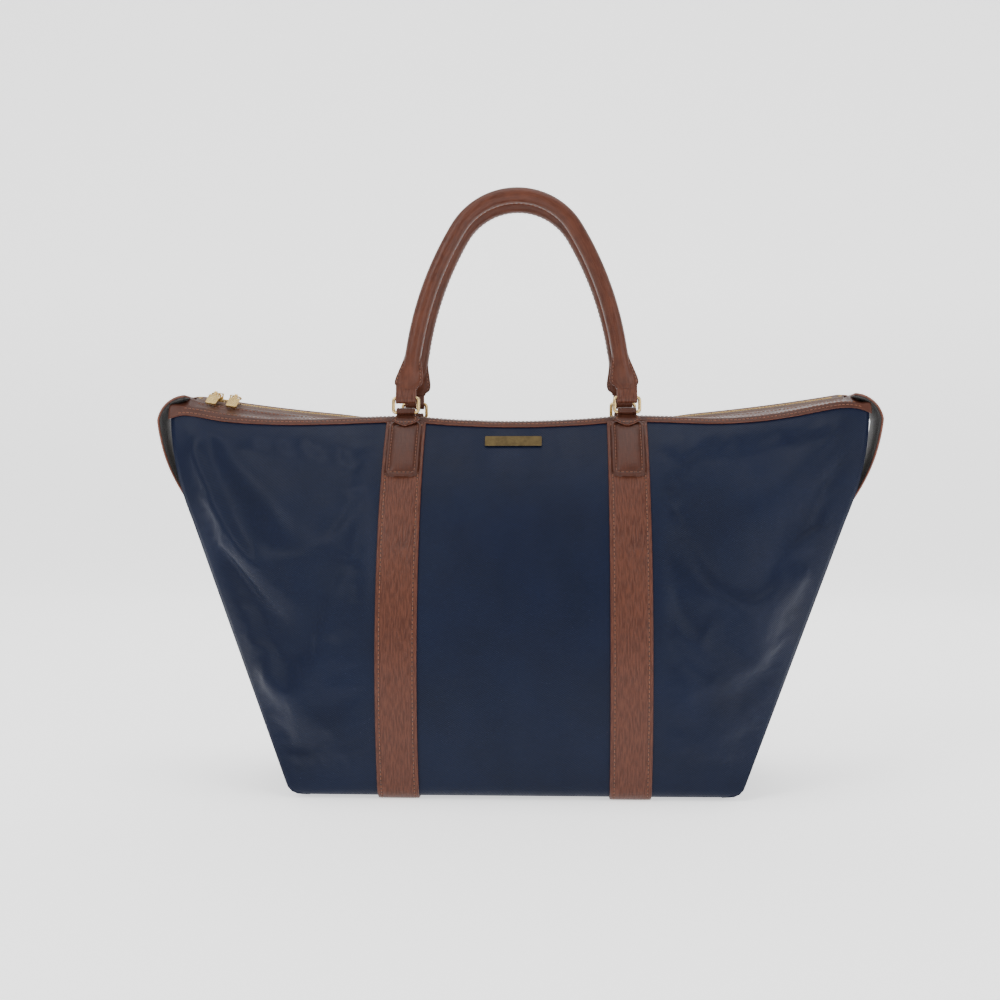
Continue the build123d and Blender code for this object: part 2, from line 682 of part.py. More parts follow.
with BuildPart() as stud_socket:
    with BuildSketch(stud_plane.offset(-STUD_POST_LENGTH - STUD_SOCKET_DEPTH)):
        Circle(STUD_SOCKET_R)
        Circle(STUD_HOLE_R, mode=Mode.SUBTRACT)
    extrude(amount=STUD_SOCKET_THICK)
save(stud_socket.part, "right_stud_socket")
save(mirrored(stud_socket.part, Plane.YZ), "left_stud_socket")

# ---- sliders, links and pull tabs ----
for name, x, side in (("left", SLIDER_X[0], -1), ("right", SLIDER_X[1], 1)):
    up = Vector(-x, 0, ZIP_CENTRE_Z - zip_z(x)).normalized()
    slider_plane = Plane(origin=(x, 0, zip_z(x)), x_dir=(up.Z, 0, -up.X), z_dir=up)
    inner_z = TOOTH_SIZE[2] / 2 + SLIDER_CLEAR
    plate_z = inner_z + SLIDER_SIZE[2] / 2
    lug_low = inner_z + SLIDER_SIZE[2]
    lug_high = LUG_Z + LUG_HOLE_R + LUG_RIM
    with BuildPart() as slider:
        with Locations(slider_plane):
            with Locations((0, 0, plate_z), (0, 0, -plate_z)):
                Box(*SLIDER_SIZE)
            Box(SLIDER_POST[0], SLIDER_POST[1], 2 * inner_z)
            with Locations((0, 0, (lug_low + lug_high) / 2)):
                Box(LUG_SIZE[0], LUG_SIZE[1], lug_high - lug_low)
            with Locations((0, 0, LUG_Z)):
                Cylinder(LUG_HOLE_R, 2 * LUG_SIZE[1], rotation=(90, 0, 0), mode=Mode.SUBTRACT)
    save(slider.part, "slider_" + name)

    tilt = math.radians(LINK_TILT)
    link_centre = slider_plane.from_local_coords((side * LINK_R, 0, LUG_Z))
    link_normal = slider_plane.y_dir * math.sin(tilt) + slider_plane.z_dir * math.cos(tilt)
    link_plane = Plane(origin=link_centre, x_dir=slider_plane.x_dir, z_dir=link_normal)
    with BuildPart() as link:
        with Locations(link_plane):
            Torus(LINK_R, LINK_WIRE_R)
    save(link.part, "pull_link_" + name)

    eye = link_centre + (slider_plane.z_dir * math.sin(tilt) - slider_plane.y_dir * math.cos(tilt)) * LINK_R
    slope = math.radians(PULL_SLOPE)
    pull_normal = slider_plane.z_dir * math.cos(slope) - slider_plane.y_dir * math.sin(slope)
    pull_plane = Plane(origin=eye, x_dir=slider_plane.x_dir, z_dir=pull_normal)
    plate_length = PULL_LENGTH - PULL_EYE_OUTER_R - PULL_NECK
    with BuildPart() as pull:
        with BuildSketch(pull_plane.offset(-PULL_THICK / 2)):
            with Locations((0, -PULL_NECK - plate_length / 2)):
                RectangleRounded(PULL_WIDTH, plate_length, PULL_CORNER)
            with Locations((0, -(PULL_NECK + OVERLAP) / 2)):
                Rectangle(PULL_EYE_WIDTH, PULL_NECK + OVERLAP)
        extrude(amount=PULL_THICK)
        with Locations(pull_plane):
            Cylinder(PULL_EYE_OUTER_R, PULL_EYE_WIDTH, rotation=(0, 90, 0))
            Cylinder(PULL_EYE_R, 2 * PULL_EYE_WIDTH, rotation=(0, 90, 0), mode=Mode.SUBTRACT)
    save(pull.part, "pull_tab_" + name)
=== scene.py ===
import math

import bpy
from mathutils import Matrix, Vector, noise


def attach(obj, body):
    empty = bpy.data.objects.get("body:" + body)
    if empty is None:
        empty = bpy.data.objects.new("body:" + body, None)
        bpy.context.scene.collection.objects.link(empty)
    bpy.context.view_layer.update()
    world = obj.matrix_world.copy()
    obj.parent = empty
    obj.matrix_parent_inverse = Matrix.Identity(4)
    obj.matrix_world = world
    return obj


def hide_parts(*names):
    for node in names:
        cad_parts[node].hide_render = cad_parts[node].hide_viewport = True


# Foldable travel tote bag, in metres: +X to the right, +Y to the rear, +Z up, standing on z = 0.

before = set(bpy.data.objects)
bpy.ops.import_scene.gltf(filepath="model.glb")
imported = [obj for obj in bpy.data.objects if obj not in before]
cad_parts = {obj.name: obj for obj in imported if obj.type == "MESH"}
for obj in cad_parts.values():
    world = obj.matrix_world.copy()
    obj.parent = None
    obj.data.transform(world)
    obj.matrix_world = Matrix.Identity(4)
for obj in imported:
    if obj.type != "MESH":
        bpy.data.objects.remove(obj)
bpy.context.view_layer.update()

# ---- shape of the stuffed body ----
BASE_Z = 0.0021
TOP_DEPTH = 0.033
BASE_DEPTH = 0.095
WALL_TOP_Z = 0.319
BULGE = 0.050
CHORD = math.hypot(BASE_DEPTH - TOP_DEPTH, WALL_TOP_Z)
WALL_R = CHORD**2 / (8 * BULGE) + BULGE / 2
SINK = (WALL_R - BULGE) / CHORD
WALL_CY = -(BASE_DEPTH + TOP_DEPTH) / 2 + WALL_TOP_Z * SINK
WALL_CZ = WALL_TOP_Z / 2 - (BASE_DEPTH - TOP_DEPTH) * SINK
ZIP_LOW_Z = 0.318
ZIP_RADIUS = 1.753
WING_X = 0.309
WING_Z = 0.332
BOTTOM_ROLL = 0.009          # radius where the walls turn under the base
SEAM_TOP_DEPTH = 0.0215
STRAP_X = 0.0965
STRAP_HALF = 0.01725
GUSSET_SINK = 0.005          # how far the side tab draws the gusset in
PLATE_X = -0.002
PLATE_Z = 0.301
SEAM_BASE_X = 0.187          # side seam: at the base, at the point where it steepens, and its bow above that
SEAM_KNEE_X = 0.284
SEAM_KNEE_Z = 0.233
SEAM_BOW = 0.022
HEM_COVER = 0.0052           # how far the top leather covers the wall's edge
NYLON_THICK = 0.0009


def arc_depth(z):
    """Half depth of the stuffed body at its widest, at height z."""
    return math.sqrt(WALL_R**2 - (z - WALL_CZ) ** 2) - WALL_CY


# Height of the binding's lower edge by x: lifted by the handles, sagging between them, high at the wings.
HEM = [
    (-0.3140, 0.3200), (-0.3090, 0.3225), (-0.2980, 0.3252), (-0.2850, 0.3238), (-0.2580, 0.3190),
    (-0.2110, 0.3160), (-0.1610, 0.3162), (-0.1250, 0.3175), (-0.0965, 0.3178), (-0.0500, 0.3145),
    (0.0, 0.3130), (0.0500, 0.3145), (0.0965, 0.3178), (0.1250, 0.3175), (0.1730, 0.3160),
    (0.2100, 0.3180), (0.2400, 0.3222), (0.2670, 0.3275), (0.2850, 0.3305), (0.2980, 0.3300),
    (0.3090, 0.3262), (0.3140, 0.3230),
]


def table_curve(table, at):
    """Smooth curve through a table of (place, value) pairs."""
    if at <= table[0][0]:
        return table[0][1]
    if at >= table[-1][0]:
        return table[-1][1]
    k = 0
    while table[k + 1][0] < at:
        k += 1
    (x0, y0), (x1, y1) = table[k], table[k + 1]
    before = table[max(0, k - 1)]
    after = table[min(len(table) - 1, k + 2)]
    slope0 = (y1 - before[1]) / (x1 - before[0])
    slope1 = (after[1] - y0) / (after[0] - x0)
    span = x1 - x0
    t = (at - x0) / span
    return (
        y0 * (1 + 2 * t) * (1 - t) ** 2 + slope0 * span * t * (1 - t) ** 2
        + y1 * t * t * (3 - 2 * t) + slope1 * span * t * t * (t - 1)
    )


def hem_z(x):
    """Height of the binding's lower edge."""
    return table_curve(HEM, x)


def edge_z(x):
    """Height of the wall's top edge, inside the top leather."""
    return hem_z(x) + HEM_COVER


def zip_z(x):
    """Height of the sagging zip line."""
    return ZIP_LOW_Z + ZIP_RADIUS - math.sqrt(ZIP_RADIUS**2 - x * x)


def corner_drop(z):
    """How far the round bottom corner pulls the outline in at height z."""
    left = BOTTOM_ROLL - (z - BASE_Z)
    return 0.0 if left <= 0 else BOTTOM_ROLL - math.sqrt(max(0.0, BOTTOM_ROLL**2 - left * left))


def seam_x(z):
    """X of the side seam at height z."""
    if z <= SEAM_KNEE_Z:
        x = SEAM_BASE_X + (SEAM_KNEE_X - SEAM_BASE_X) * (z - BASE_Z) / (SEAM_KNEE_Z - BASE_Z)
    else:
        t = (z - SEAM_KNEE_Z) / (WING_Z - SEAM_KNEE_Z)
        x = SEAM_KNEE_X + (WING_X - SEAM_KNEE_X) * t + SEAM_BOW * t * (1 - t)
    return x - corner_drop(z)


def seam_depth(z):
    """Half depth of the body at the side seams."""
    return BASE_DEPTH + (SEAM_TOP_DEPTH - BASE_DEPTH) * (z - BASE_Z) / (WING_Z - BASE_Z)


def wall_depth(x, z):
    """Half depth of the wall at x and height z: full in the middle, drawn in towards the seams."""
    u = min(1.0, abs(x) / seam_x(z))
    return seam_depth(z) + (arc_depth(z) - seam_depth(z)) * (1 - u**4)


ROLL_LENGTH = BOTTOM_ROLL * math.pi / 2


def rolled(q):
    """Height, and how far under the base, at a length q up the wall from where it leaves the base."""
    if q < ROLL_LENGTH:
        angle = q / BOTTOM_ROLL
        return BASE_Z + BOTTOM_ROLL * (1 - math.cos(angle)), BOTTOM_ROLL * (1 - math.sin(angle))
    return BASE_Z + BOTTOM_ROLL + q - ROLL_LENGTH, 0.0


def length_up(z):
    """Length up the wall to height z, above the rolled edge."""
    return z - BASE_Z - BOTTOM_ROLL + ROLL_LENGTH


def smooth(a, b, v):
    """Smooth step from 0 at a to 1 at b."""
    t = min(1.0, max(0.0, (v - a) / (b - a)))
    return t * t * (3 - 2 * t)


# Folds: start, end (x, z), half width and height. The long ones fan out from the top corners.
FOLDS = {
    -1: [
        ((-0.290, 0.322), (-0.150, 0.205), 0.0150, 0.0050),
        ((-0.296, 0.300), (-0.215, 0.185), 0.0120, 0.0042),
        ((-0.300, 0.318), (-0.262, 0.262), 0.0050, 0.0022),
        ((-0.287, 0.325), (-0.268, 0.296), 0.0028, 0.0018),
        ((-0.262, 0.205), (-0.165, 0.120), 0.0170, -0.0045),
        ((-0.215, 0.110), (-0.130, 0.030), 0.0160, 0.0038),
        ((-0.132, 0.250), (-0.128, 0.080), 0.0130, -0.0028),
        ((0.288, 0.324), (0.180, 0.215), 0.0160, 0.0048),
        ((0.300, 0.300), (0.232, 0.200), 0.0110, -0.0042),
        ((0.296, 0.322), (0.262, 0.268), 0.0055, 0.0024),
        ((0.284, 0.327), (0.272, 0.300), 0.0026, 0.0018),
        ((0.268, 0.326), (0.252, 0.305), 0.0028, 0.0014),
        ((0.245, 0.190), (0.160, 0.115), 0.0180, 0.0044),
        ((0.200, 0.110), (0.135, 0.035), 0.0150, -0.0036),
        ((0.134, 0.240), (0.130, 0.090), 0.0120, -0.0024),
    ],
    1: [
        ((-0.288, 0.322), (-0.170, 0.220), 0.0150, 0.0048),
        ((-0.290, 0.290), (-0.220, 0.190), 0.0130, -0.0040),
        ((-0.240, 0.180), (-0.150, 0.105), 0.0170, 0.0042),
        ((-0.205, 0.100), (-0.140, 0.035), 0.0150, -0.0034),
        ((0.292, 0.320), (0.155, 0.200), 0.0160, 0.0050),
        ((0.280, 0.265), (0.200, 0.170), 0.0120, -0.0040),
        ((0.230, 0.150), (0.140, 0.060), 0.0180, 0.0040),
        ((-0.010, 0.260), (0.045, 0.140), 0.0200, -0.0024),
    ],
}


def fold(x, z, side):
    """How far the cloth stands out of the smooth wall."""
    out = 0.0
    for (x0, z0), (x1, z1), width, height in FOLDS[side]:
        dx, dz = x1 - x0, z1 - z0
        length = math.hypot(dx, dz)
        along = ((x - x0) * dx + (z - z0) * dz) / length**2
        if not -0.1 < along < 1.1:
            continue
        bend = 0.004 * math.sin(along * 5.0 + x0 * 40)
        across = ((x - x0) * dz - (z - z0) * dx) / length + bend
        fade = smooth(-0.1, 0.15, along) * (1 - smooth(0.55, 1.1, along))
        spread = width * (0.7 + 0.8 * max(0.0, along))
        out += height * fade * math.exp(-((across / spread) ** 2))
    middle = smooth(0.10, 0.16, abs(x))
    soft = noise.noise(Vector((x * 14, z * 14, side * 3.7))) * 0.0022
    fine = noise.noise(Vector((x * 42, z * 30, 9 + side))) * 0.0009
    return out + soft * (0.35 + 0.65 * middle) + fine * middle


def free(x, z):
    """0 where something stiff holds the cloth, 1 where it is free."""
    band = smooth(STRAP_HALF + 0.002, STRAP_HALF + 0.024, abs(abs(x) - STRAP_X))
    top = smooth(0.009, 0.024, edge_z(x) - z)
    seam = 1 - smooth(0.90, 0.995, abs(x) / seam_x(z))
    foot = smooth(0.012, 0.045, z)
    plate = max(smooth(0.026, 0.045, abs(x - PLATE_X)), smooth(0.012, 0.030, PLATE_Z - z))
    return band * top * seam * foot * plate


def wall_point(x, q, side, layer=0.0):
    """A point on the front (side -1) or rear wall, raised off it by layer."""
    z, under = rolled(q)
    y = wall_depth(x, z) - under
    point = Vector((x, side * y, z))
    if layer:
        point += wall_normal(x, q, side) * layer
    return point


def wall_normal(x, q, side):
    """Outward normal of the wall."""
    step = 0.0006
    across = wall_point(x + step, q, side) - wall_point(x - step, q, side)
    along = wall_point(x, q + step, side) - wall_point(x, max(0.0, q - step), side)
    return (across.cross(along) * -side).normalized()


# ---- mesh building ----
def piece(
    name, points, faces, uvs, materials, body="root", slot="brown_leather", replaces=(), face_slots=None
):
    """One mesh object that rides on a body. uvs are per vertex, in metres on the flat hide or cloth."""
    mesh = bpy.data.meshes.new(name)
    mesh.from_pydata([tuple(p) for p in points], [], faces)
    layer = mesh.uv_layers.new(name="Flat")
    for loop in mesh.loops:
        layer.data[loop.index].uv = uvs[loop.vertex_index]
    for material in materials:
        mesh.materials.append(material)
    mesh.polygons.foreach_set("use_smooth", [True] * len(mesh.polygons))
    if face_slots is not None:
        mesh.polygons.foreach_set("material_index", face_slots)
    mesh.update()
    obj = bpy.data.objects.new(name, mesh)
    bpy.context.scene.collection.objects.link(obj)
    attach(obj, body)
    if replaces:
        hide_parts(*replaces)
    return obj


def grid_faces(rows, columns, close_columns=False, flip=False):
    """Quads of a grid of vertices, row by row."""
    faces = []
    last = columns if close_columns else columns - 1
    for r in range(rows - 1):
        for c in range(last):
            d = (c + 1) % columns
            quad = (r * columns + c, r * columns + d, (r + 1) * columns + d, (r + 1) * columns + c)
            faces.append(quad[::-1] if flip else quad)
    return faces


def measured(points):
    """Running length along a line of points."""
    lengths = [0.0]
    for a, b in zip(points, points[1:]):
        lengths.append(lengths[-1] + (b - a).length)
    return lengths


def resample(points, spacing):
    """The same line with evenly spaced points."""
    lengths = measured(points)
    count = max(2, round(lengths[-1] / spacing) + 1)
    out = []
    k = 0
    for i in range(count):
        at = lengths[-1] * i / (count - 1)
        while k < len(points) - 2 and lengths[k + 1] < at:
            k += 1
        span = lengths[k + 1] - lengths[k]
        out.append(points[k].lerp(points[k + 1], 0 if span == 0 else (at - lengths[k]) / span))
    return out


GROOVE_IN = 0.0034           # stitch line, in from a strap's edge


def leather_section(half, thick, groove_in=GROOVE_IN, dome=0.0):
    """Cross-section of a strap: (across, up, on the painted edge) from left to right along its upper side."""
    r = min(0.0007, thick * 0.4, half * 0.2)
    g = max(half - groove_in, half * 0.45)
    n = min(0.0007, half * 0.08)
    depth = 0.00028 if groove_in else 0.0
    left = [
        (-half + r * 0.6, 0.0, True),
        (-half, 0.0003, True),
        (-half - 0.0001, thick * 0.5, True),
        (-half + r * 0.3, thick - r * 0.4, True),
        (-half + r, thick - 0.0001, False),
        (-half + r * 2.0, thick, False),
        (-g - n, thick, False),
        (-g - n * 0.4, thick - depth, False),
        (-g + n * 0.4, thick - depth, False),
        (-g + n, thick, False),
        (-g + n * 3.0, thick + dome * 0.6, False),
    ]
    inner = g - n * 3.0
    middle = [(inner * k, thick + dome * (1 - k * k * 0.4), False) for k in (-0.55, -0.2, 0.2, 0.55)]
    return left + middle + [(-w, h, e) for w, h, e in reversed(left)]


def swept(name, count, section_of, place, materials, **facts):
    """Leather swept along stations: section_of(i) is a leather_section, place(i, across, up) a point."""
    points, uvs = [], []
    run = 0.0
    previous = None
    columns = len(section_of(0))
    for i in range(count):
        section = section_of(i)
        centre = place(i, 0.0, 0.0)
        run += 0.0 if previous is None else (centre - previous).length
        previous = centre
        edges = [e for _, _, e in section]
        for w, h, _ in section:
            points.append(place(i, w, h))
            uvs.append((w, run))
    faces = grid_faces(count, columns, close_columns=True, flip=True)
    slots = [1 if edges[c] and edges[(c + 1) % columns] else 0 for c in range(columns)] * (count - 1)
    base = (count - 1) * columns
    faces.append(tuple(range(columns)))
    faces.append(tuple(base + c for c in range(columns))[::-1])
    slots += [1, 1]
    piece(name, points, faces, uvs, materials, face_slots=slots, **facts)


def frames_along(path, across):
    """(point, tangent, normal) along a flat path. The normal is across turned a quarter round the tangent."""
    out = []
    for i, p in enumerate(path):
        a = path[max(0, i - 1)]
        b = path[min(len(path) - 1, i + 1)]
        tangent = (b - a).normalized()
        out.append((p, tangent, tangent.cross(across).normalized()))
    return out


def ribbon(name, path, across, half_of, thick, materials, groove_in=GROOVE_IN, **facts):
    """Leather strip along a flat path, of a width that may change. Its upper side is tangent x across."""
    frames = frames_along(path, across)
    lengths = measured(path)

    def section_of(i):
        return leather_section(half_of(lengths[i], lengths[-1]), thick, groove_in)

    def place(i, w, h):
        point, _, normal = frames[i]
        return point + across * w + normal * h

    swept(name, len(path), section_of, place, materials, **facts)


PROBE = 0.0002               # step either way for a row's direction
SIDES = 6                    # sides of the thread and of a needle hole


def on_row(sampler, at, first, last):
    """(point, normal, tangent, side) at a length along a row, looking no further than first and last."""
    point, normal = sampler(at)
    ahead, _ = sampler(min(last, at + PROBE))
    behind, _ = sampler(max(first, at - PROBE))
    tangent = (ahead - behind).normalized()
    return point, normal, tangent, tangent.cross(normal).normalized()


def thread_points(sampler, start, end, radius, lift):
    """Rings of points of one stitch, from under the leather, over it and back."""
    rings = []
    for t in (0.0, 0.12, 0.5, 0.88, 1.0):
        point, normal, _, side = on_row(sampler, start + (end - start) * t, start, end)
        centre = point + normal * (lift if 0 < t < 1 else -radius * 1.5)
        if t == 0.5:
            centre = point + normal * lift * 1.5
        rings.append([
            centre + (side * math.cos(a) + normal * math.sin(a)) * radius
            for a in (k * math.tau / SIDES for k in range(SIDES))
        ])
    return rings


def stitches(name, rows, body="root", pitch=0.0038, radius=0.00036, length=0.72):
    """Rows of stitches, each a list of (point, normal) on the leather's face.

    length is a stitch's share of the pitch.
    """
    points, faces, uvs, slots = [], [], [], []
    for row in rows:
        lengths = measured([p for p, _ in row])
        total = lengths[-1]

        def sampler(at):
            low, high = 0, len(lengths) - 1
            while high - low > 1:
                middle = (low + high) // 2
                if lengths[middle] <= at:
                    low = middle
                else:
                    high = middle
            span = lengths[low + 1] - lengths[low]
            t = 0.0 if span == 0 else (at - lengths[low]) / span
            return row[low][0].lerp(row[low + 1][0], t), row[low][1].lerp(row[low + 1][1], t).normalized()

        count = max(1, int(total / pitch))
        step = total / count
        for i in range(count):
            s0 = step * (i + (1 - length) / 2)
            s1 = s0 + step * length
            base = len(points)
            rings = thread_points(sampler, s0, s1, radius, radius * 0.25)
            for j, ring in enumerate(rings):
                points.extend(ring)
                uvs.extend([(k / SIDES * 0.002, s0 + j * 0.0007) for k in range(SIDES)])
            new = grid_faces(len(rings), SIDES, close_columns=True)
            faces.extend([tuple(base + v for v in f) for f in new])
            slots.extend([0] * len(new))
            # A flat dark disc at each end of a stitch: painted shade where the needle hole is.
            for s in (s0, s1):
                point, normal, tangent, side = on_row(sampler, s, 0.0, total)
                base = len(points)
                for k in range(SIDES):
                    a = k * math.tau / SIDES
                    disc = (side * math.cos(a) + tangent * math.sin(a)) * radius * 1.35
                    points.append(point + disc + normal * 0.00004)
                    uvs.append((0.0, 0.0))
                faces.append(tuple(range(base, base + SIDES)))
                slots.append(1)
    piece(name, points, faces, uvs, [THREAD, NEEDLE_HOLE_SHADE], body, face_slots=slots)


# ---- materials ----
class Recipe:
    """Builds one node material, node by node."""

    def __init__(self, name, **principled):
        self.material = bpy.data.materials.new(name)
        self.material.use_nodes = True
        self.tree = self.material.node_tree
        self.tree.nodes.clear()
        output = self.tree.nodes.new("ShaderNodeOutputMaterial")
        self.shader = self.tree.nodes.new("ShaderNodeBsdfPrincipled")
        self.tree.links.new(self.shader.outputs["BSDF"], output.inputs["Surface"])
        for socket, value in principled.items():
            self.shader.inputs[socket.replace("_", " ")].default_value = value

    def node(self, kind, inputs=None, **settings):
        made = self.tree.nodes.new("ShaderNode" + kind)
        for key, value in settings.items():
            setattr(made, key, value)
        for key, value in (inputs or {}).items():
            self.plug(value, made.inputs[key])
        return made

    def plug(self, value, socket):
        if isinstance(value, bpy.types.NodeSocket):
            self.tree.links.new(value, socket)
        else:
            socket.default_value = value

    def coordinates(self, source, scale=(1, 1, 1), turn=(0, 0, 0)):
        where = self.node("TexCoord").outputs[source]
        mapped = self.node("Mapping", {"Vector": where, "Scale": scale, "Rotation": turn})
        return mapped.outputs["Vector"]

    def noise(self, vector, scale, detail=2.0, roughness=0.5):
        inputs = {"Vector": vector, "Scale": scale, "Detail": detail, "Roughness": roughness}
        made = self.node("TexNoise", inputs)
        return made.outputs[0]

    def spread(self, value, low, high, to_low=0.0, to_high=1.0):
        made = self.node(
            "MapRange",
            {"Value": value, "From Min": low, "From Max": high, "To Min": to_low, "To Max": to_high},
        )
        return made.outputs["Result"]

    def maths(self, operation, a, b=0.0):
        made = self.node("Math", operation=operation)
        self.plug(a, made.inputs[0])
        self.plug(b, made.inputs[1])
        return made.outputs[0]

    def mix(self, factor, a, b):
        made = self.node("Mix", data_type="RGBA")
        self.plug(factor, made.inputs[0])
        self.plug(a, made.inputs[6])
        self.plug(b, made.inputs[7])
        return made.outputs[2]

    def bump(self, height, distance, strength=1.0, under=None):
        inputs = {"Height": height, "Distance": distance, "Strength": strength}
        if under is not None:
            inputs["Normal"] = under
        return self.node("Bump", inputs).outputs["Normal"]

    def finish(self, **sockets):
        for name, value in sockets.items():
            self.plug(value, self.shader.inputs[name.replace("_", " ")])
        return self.material


def colour(red, green, blue):
    """Linear colour of an sRGB triple from 0 to 255."""
    def linear(v):
        v /= 255
        return v / 12.92 if v <= 0.04045 else ((v + 0.055) / 1.055) ** 2.4
    return (linear(red), linear(green), linear(blue), 1.0)


def nylon(name, dark, light):
    """Twill nylon with a soft sheen: fine slanted ribs, two tones of yarn and faint handling marks."""
    make = Recipe(name, Sheen_Weight=0.03, Sheen_Roughness=0.4, Sheen_Tint=colour(110, 135, 190), IOR=1.5,
                  Specular_IOR_Level=0.13)
    flat = make.coordinates("UV")
    slanted = make.coordinates("UV", scale=(1, 1, 1), turn=(0, 0, math.radians(58)))
    ribs = make.node(
        "TexWave",
        {"Vector": slanted, "Scale": 230.0, "Distortion": 0.5, "Detail": 1.0, "Detail Scale": 2.0},
        wave_type="BANDS",
    ).outputs[1]
    yarn = make.noise(make.coordinates("UV", scale=(1500, 420, 1)), 1.0, 1.0)
    cloudy = make.spread(make.noise(flat, 16.0, 3.0, 0.55), 0.3, 0.7)
    handled = make.coordinates("UV", scale=(30, 9, 1), turn=(0, 0, 0.6))
    marks = make.spread(make.noise(handled, 1.0, 4.0, 0.6), 0.42, 0.7)
    weave = make.maths("ADD", make.maths("MULTIPLY", ribs, 0.65), make.maths("MULTIPLY", yarn, 0.35))
    base = make.mix(cloudy, dark, light)
    base = make.mix(make.spread(weave, 0.2, 0.8, 0.0, 0.45), base, make.mix(0.5, light, colour(34, 46, 76)))
    crumple = make.noise(flat, 95.0, 4.0, 0.55)
    normal = make.bump(crumple, 0.0006, 0.35)
    normal = make.bump(weave, 0.00022, 0.6, normal)
    rough = make.spread(marks, 0.0, 1.0, 0.40, 0.54)
    return make.finish(Base_Color=base, Roughness=rough, Normal=normal)


def leather(name, dark, base, light, gloss, ridges=1.0):
    """Pressed-grain leather: fine ridges along the hide, uneven dye, small creases."""
    make = Recipe(name, Coat_Weight=0.05, Coat_Roughness=0.3, IOR=1.48, Specular_IOR_Level=0.24)
    flat = make.coordinates("UV")
    along = make.coordinates("UV", scale=(820, 105, 1))
    grain = make.noise(along, 1.0, 2.0, 0.5)
    pores = make.node("TexVoronoi", {"Vector": flat, "Scale": 1150.0}, feature="F1").outputs["Distance"]
    mottled = make.spread(make.noise(flat, 38.0, 4.0, 0.6), 0.32, 0.68)
    creased = make.spread(make.noise(make.coordinates("UV", scale=(90, 330, 1)), 1.0, 3.0, 0.6), 0.35, 0.65)
    ridge = make.spread(grain, 0.38, 0.62)
    tone = make.mix(mottled, dark, base)
    tone = make.mix(make.spread(ridge, 0.0, 1.0, 0.0, 0.5 * ridges), tone, light)
    tone = make.mix(make.spread(pores, 0.0, 0.32, 0.05, 0.0), tone, dark)
    height = make.maths("ADD", make.maths("MULTIPLY", ridge, ridges), make.maths("MULTIPLY", pores, 0.25))
    normal = make.bump(creased, 0.00035, 0.25)
    normal = make.bump(height, 0.00030, 0.7, normal)
    rough = make.spread(mottled, 0.0, 1.0, gloss - 0.05, gloss + 0.07)
    return make.finish(Base_Color=tone, Roughness=rough, Normal=normal)


def metal(name, tint, deep, rough, worn=0.5, brushed=0.0):
    """Plated metal: slight tarnish in patches and fine handling scratches."""
    make = Recipe(name, Metallic=1.0)
    here = make.coordinates("Object")
    cloud = make.spread(make.noise(here, 180.0, 4.0, 0.6), 0.35, 0.7)
    fine = make.noise(make.coordinates("Object", scale=(2600, 2600, 260)), 1.0, 2.0)
    base = make.mix(make.maths("MULTIPLY", cloud, worn), tint, deep)
    roughness = make.spread(fine, 0.3, 0.7, rough - 0.04, rough + 0.08 + brushed)
    normal = make.bump(fine, 0.00002, 0.25 + brushed)
    return make.finish(Base_Color=base, Roughness=roughness, Normal=normal)


def cloth(name, dark, light, scale):
    """Plain weave: threads both ways, with a little fuzz."""
    make = Recipe(name, Sheen_Weight=0.25, Sheen_Roughness=0.6)
    flat = make.coordinates("UV")
    inputs = {"Vector": flat, "Scale": scale, "Distortion": 0.4}
    over, under = (make.node("TexWave", inputs, bands_direction=way).outputs[1] for way in "XY")
    weave = make.maths("MULTIPLY", over, under)
    fuzz = make.noise(make.coordinates("Object"), 420.0, 3.0, 0.6)
    base = make.mix(make.spread(fuzz, 0.3, 0.7), dark, light)
    base = make.mix(make.maths("MULTIPLY", weave, 0.4), base, light)
    normal = make.bump(weave, 0.0002, 0.6)
    return make.finish(Base_Color=base, Roughness=make.spread(fuzz, 0.0, 1.0, 0.72, 0.9), Normal=normal)


def painted_edge(name, tint, deep):
    """Edge paint on cut leather: smooth and a little glossy; also the thread, and the needle holes' painted
    shade.
    """
    make = Recipe(name, Coat_Weight=0.15, Coat_Roughness=0.4)
    patch = make.spread(make.noise(make.coordinates("Object"), 260.0, 3.0, 0.6), 0.3, 0.7)
    normal = make.bump(make.noise(make.coordinates("Object"), 900.0, 2.0), 0.0001, 0.3)
    base = make.mix(patch, deep, tint)
    return make.finish(Base_Color=base, Roughness=make.spread(patch, 0, 1, 0.4, 0.52), Normal=normal)


NAVY = nylon("NavyTwill", colour(6, 10, 25), colour(9, 16, 36))
STRAP_LEATHER = leather("RidgedLeather", colour(60, 28, 17), colour(70, 34, 20), colour(98, 56, 40), 0.42)
PLAIN_LEATHER = leather(
    "SmoothLeather", colour(49, 22, 12), colour(65, 31, 18), colour(84, 44, 28), gloss=0.44, ridges=0.4
)
HANDLE_LEATHER = leather(
    "HandleLeather", colour(58, 27, 16), colour(78, 39, 24), colour(100, 56, 38), gloss=0.38, ridges=0.5
)
EDGE_PAINT = painted_edge("EdgePaint", colour(104, 54, 34), colour(78, 38, 23))
THREAD = painted_edge("Thread", colour(122, 70, 42), colour(92, 50, 30))
# Dark brown for the discs at the ends of each stitch: painted shade of the needle holes.
NEEDLE_HOLE_SHADE = painted_edge("NeedleHoleShade", colour(46, 24, 16), colour(34, 18, 12))
PALE_BRASS = metal("PaleBrass", colour(214, 186, 130), colour(186, 150, 92), 0.20)
ZIP_BRASS = metal("ZipBrass", colour(220, 190, 128), colour(176, 140, 84), 0.24)
ANTIQUE_BRASS = metal("AntiqueBrass", colour(82, 70, 46), colour(56, 47, 32), 0.38, 0.7, 0.10)
LINING_CLOTH = cloth("LiningCloth", colour(30, 30, 34), colour(48, 48, 52), 900.0)
STRAP_LINING_CLOTH = cloth("StrapLiningCloth", colour(22, 20, 19), colour(36, 33, 31), 620.0)
TAPE_CLOTH = cloth("ZipTapeCloth", colour(60, 40, 30), colour(92, 62, 46), 800.0)
ROPE = cloth("RopeCore", colour(150, 138, 118), colour(186, 174, 152), 300.0)
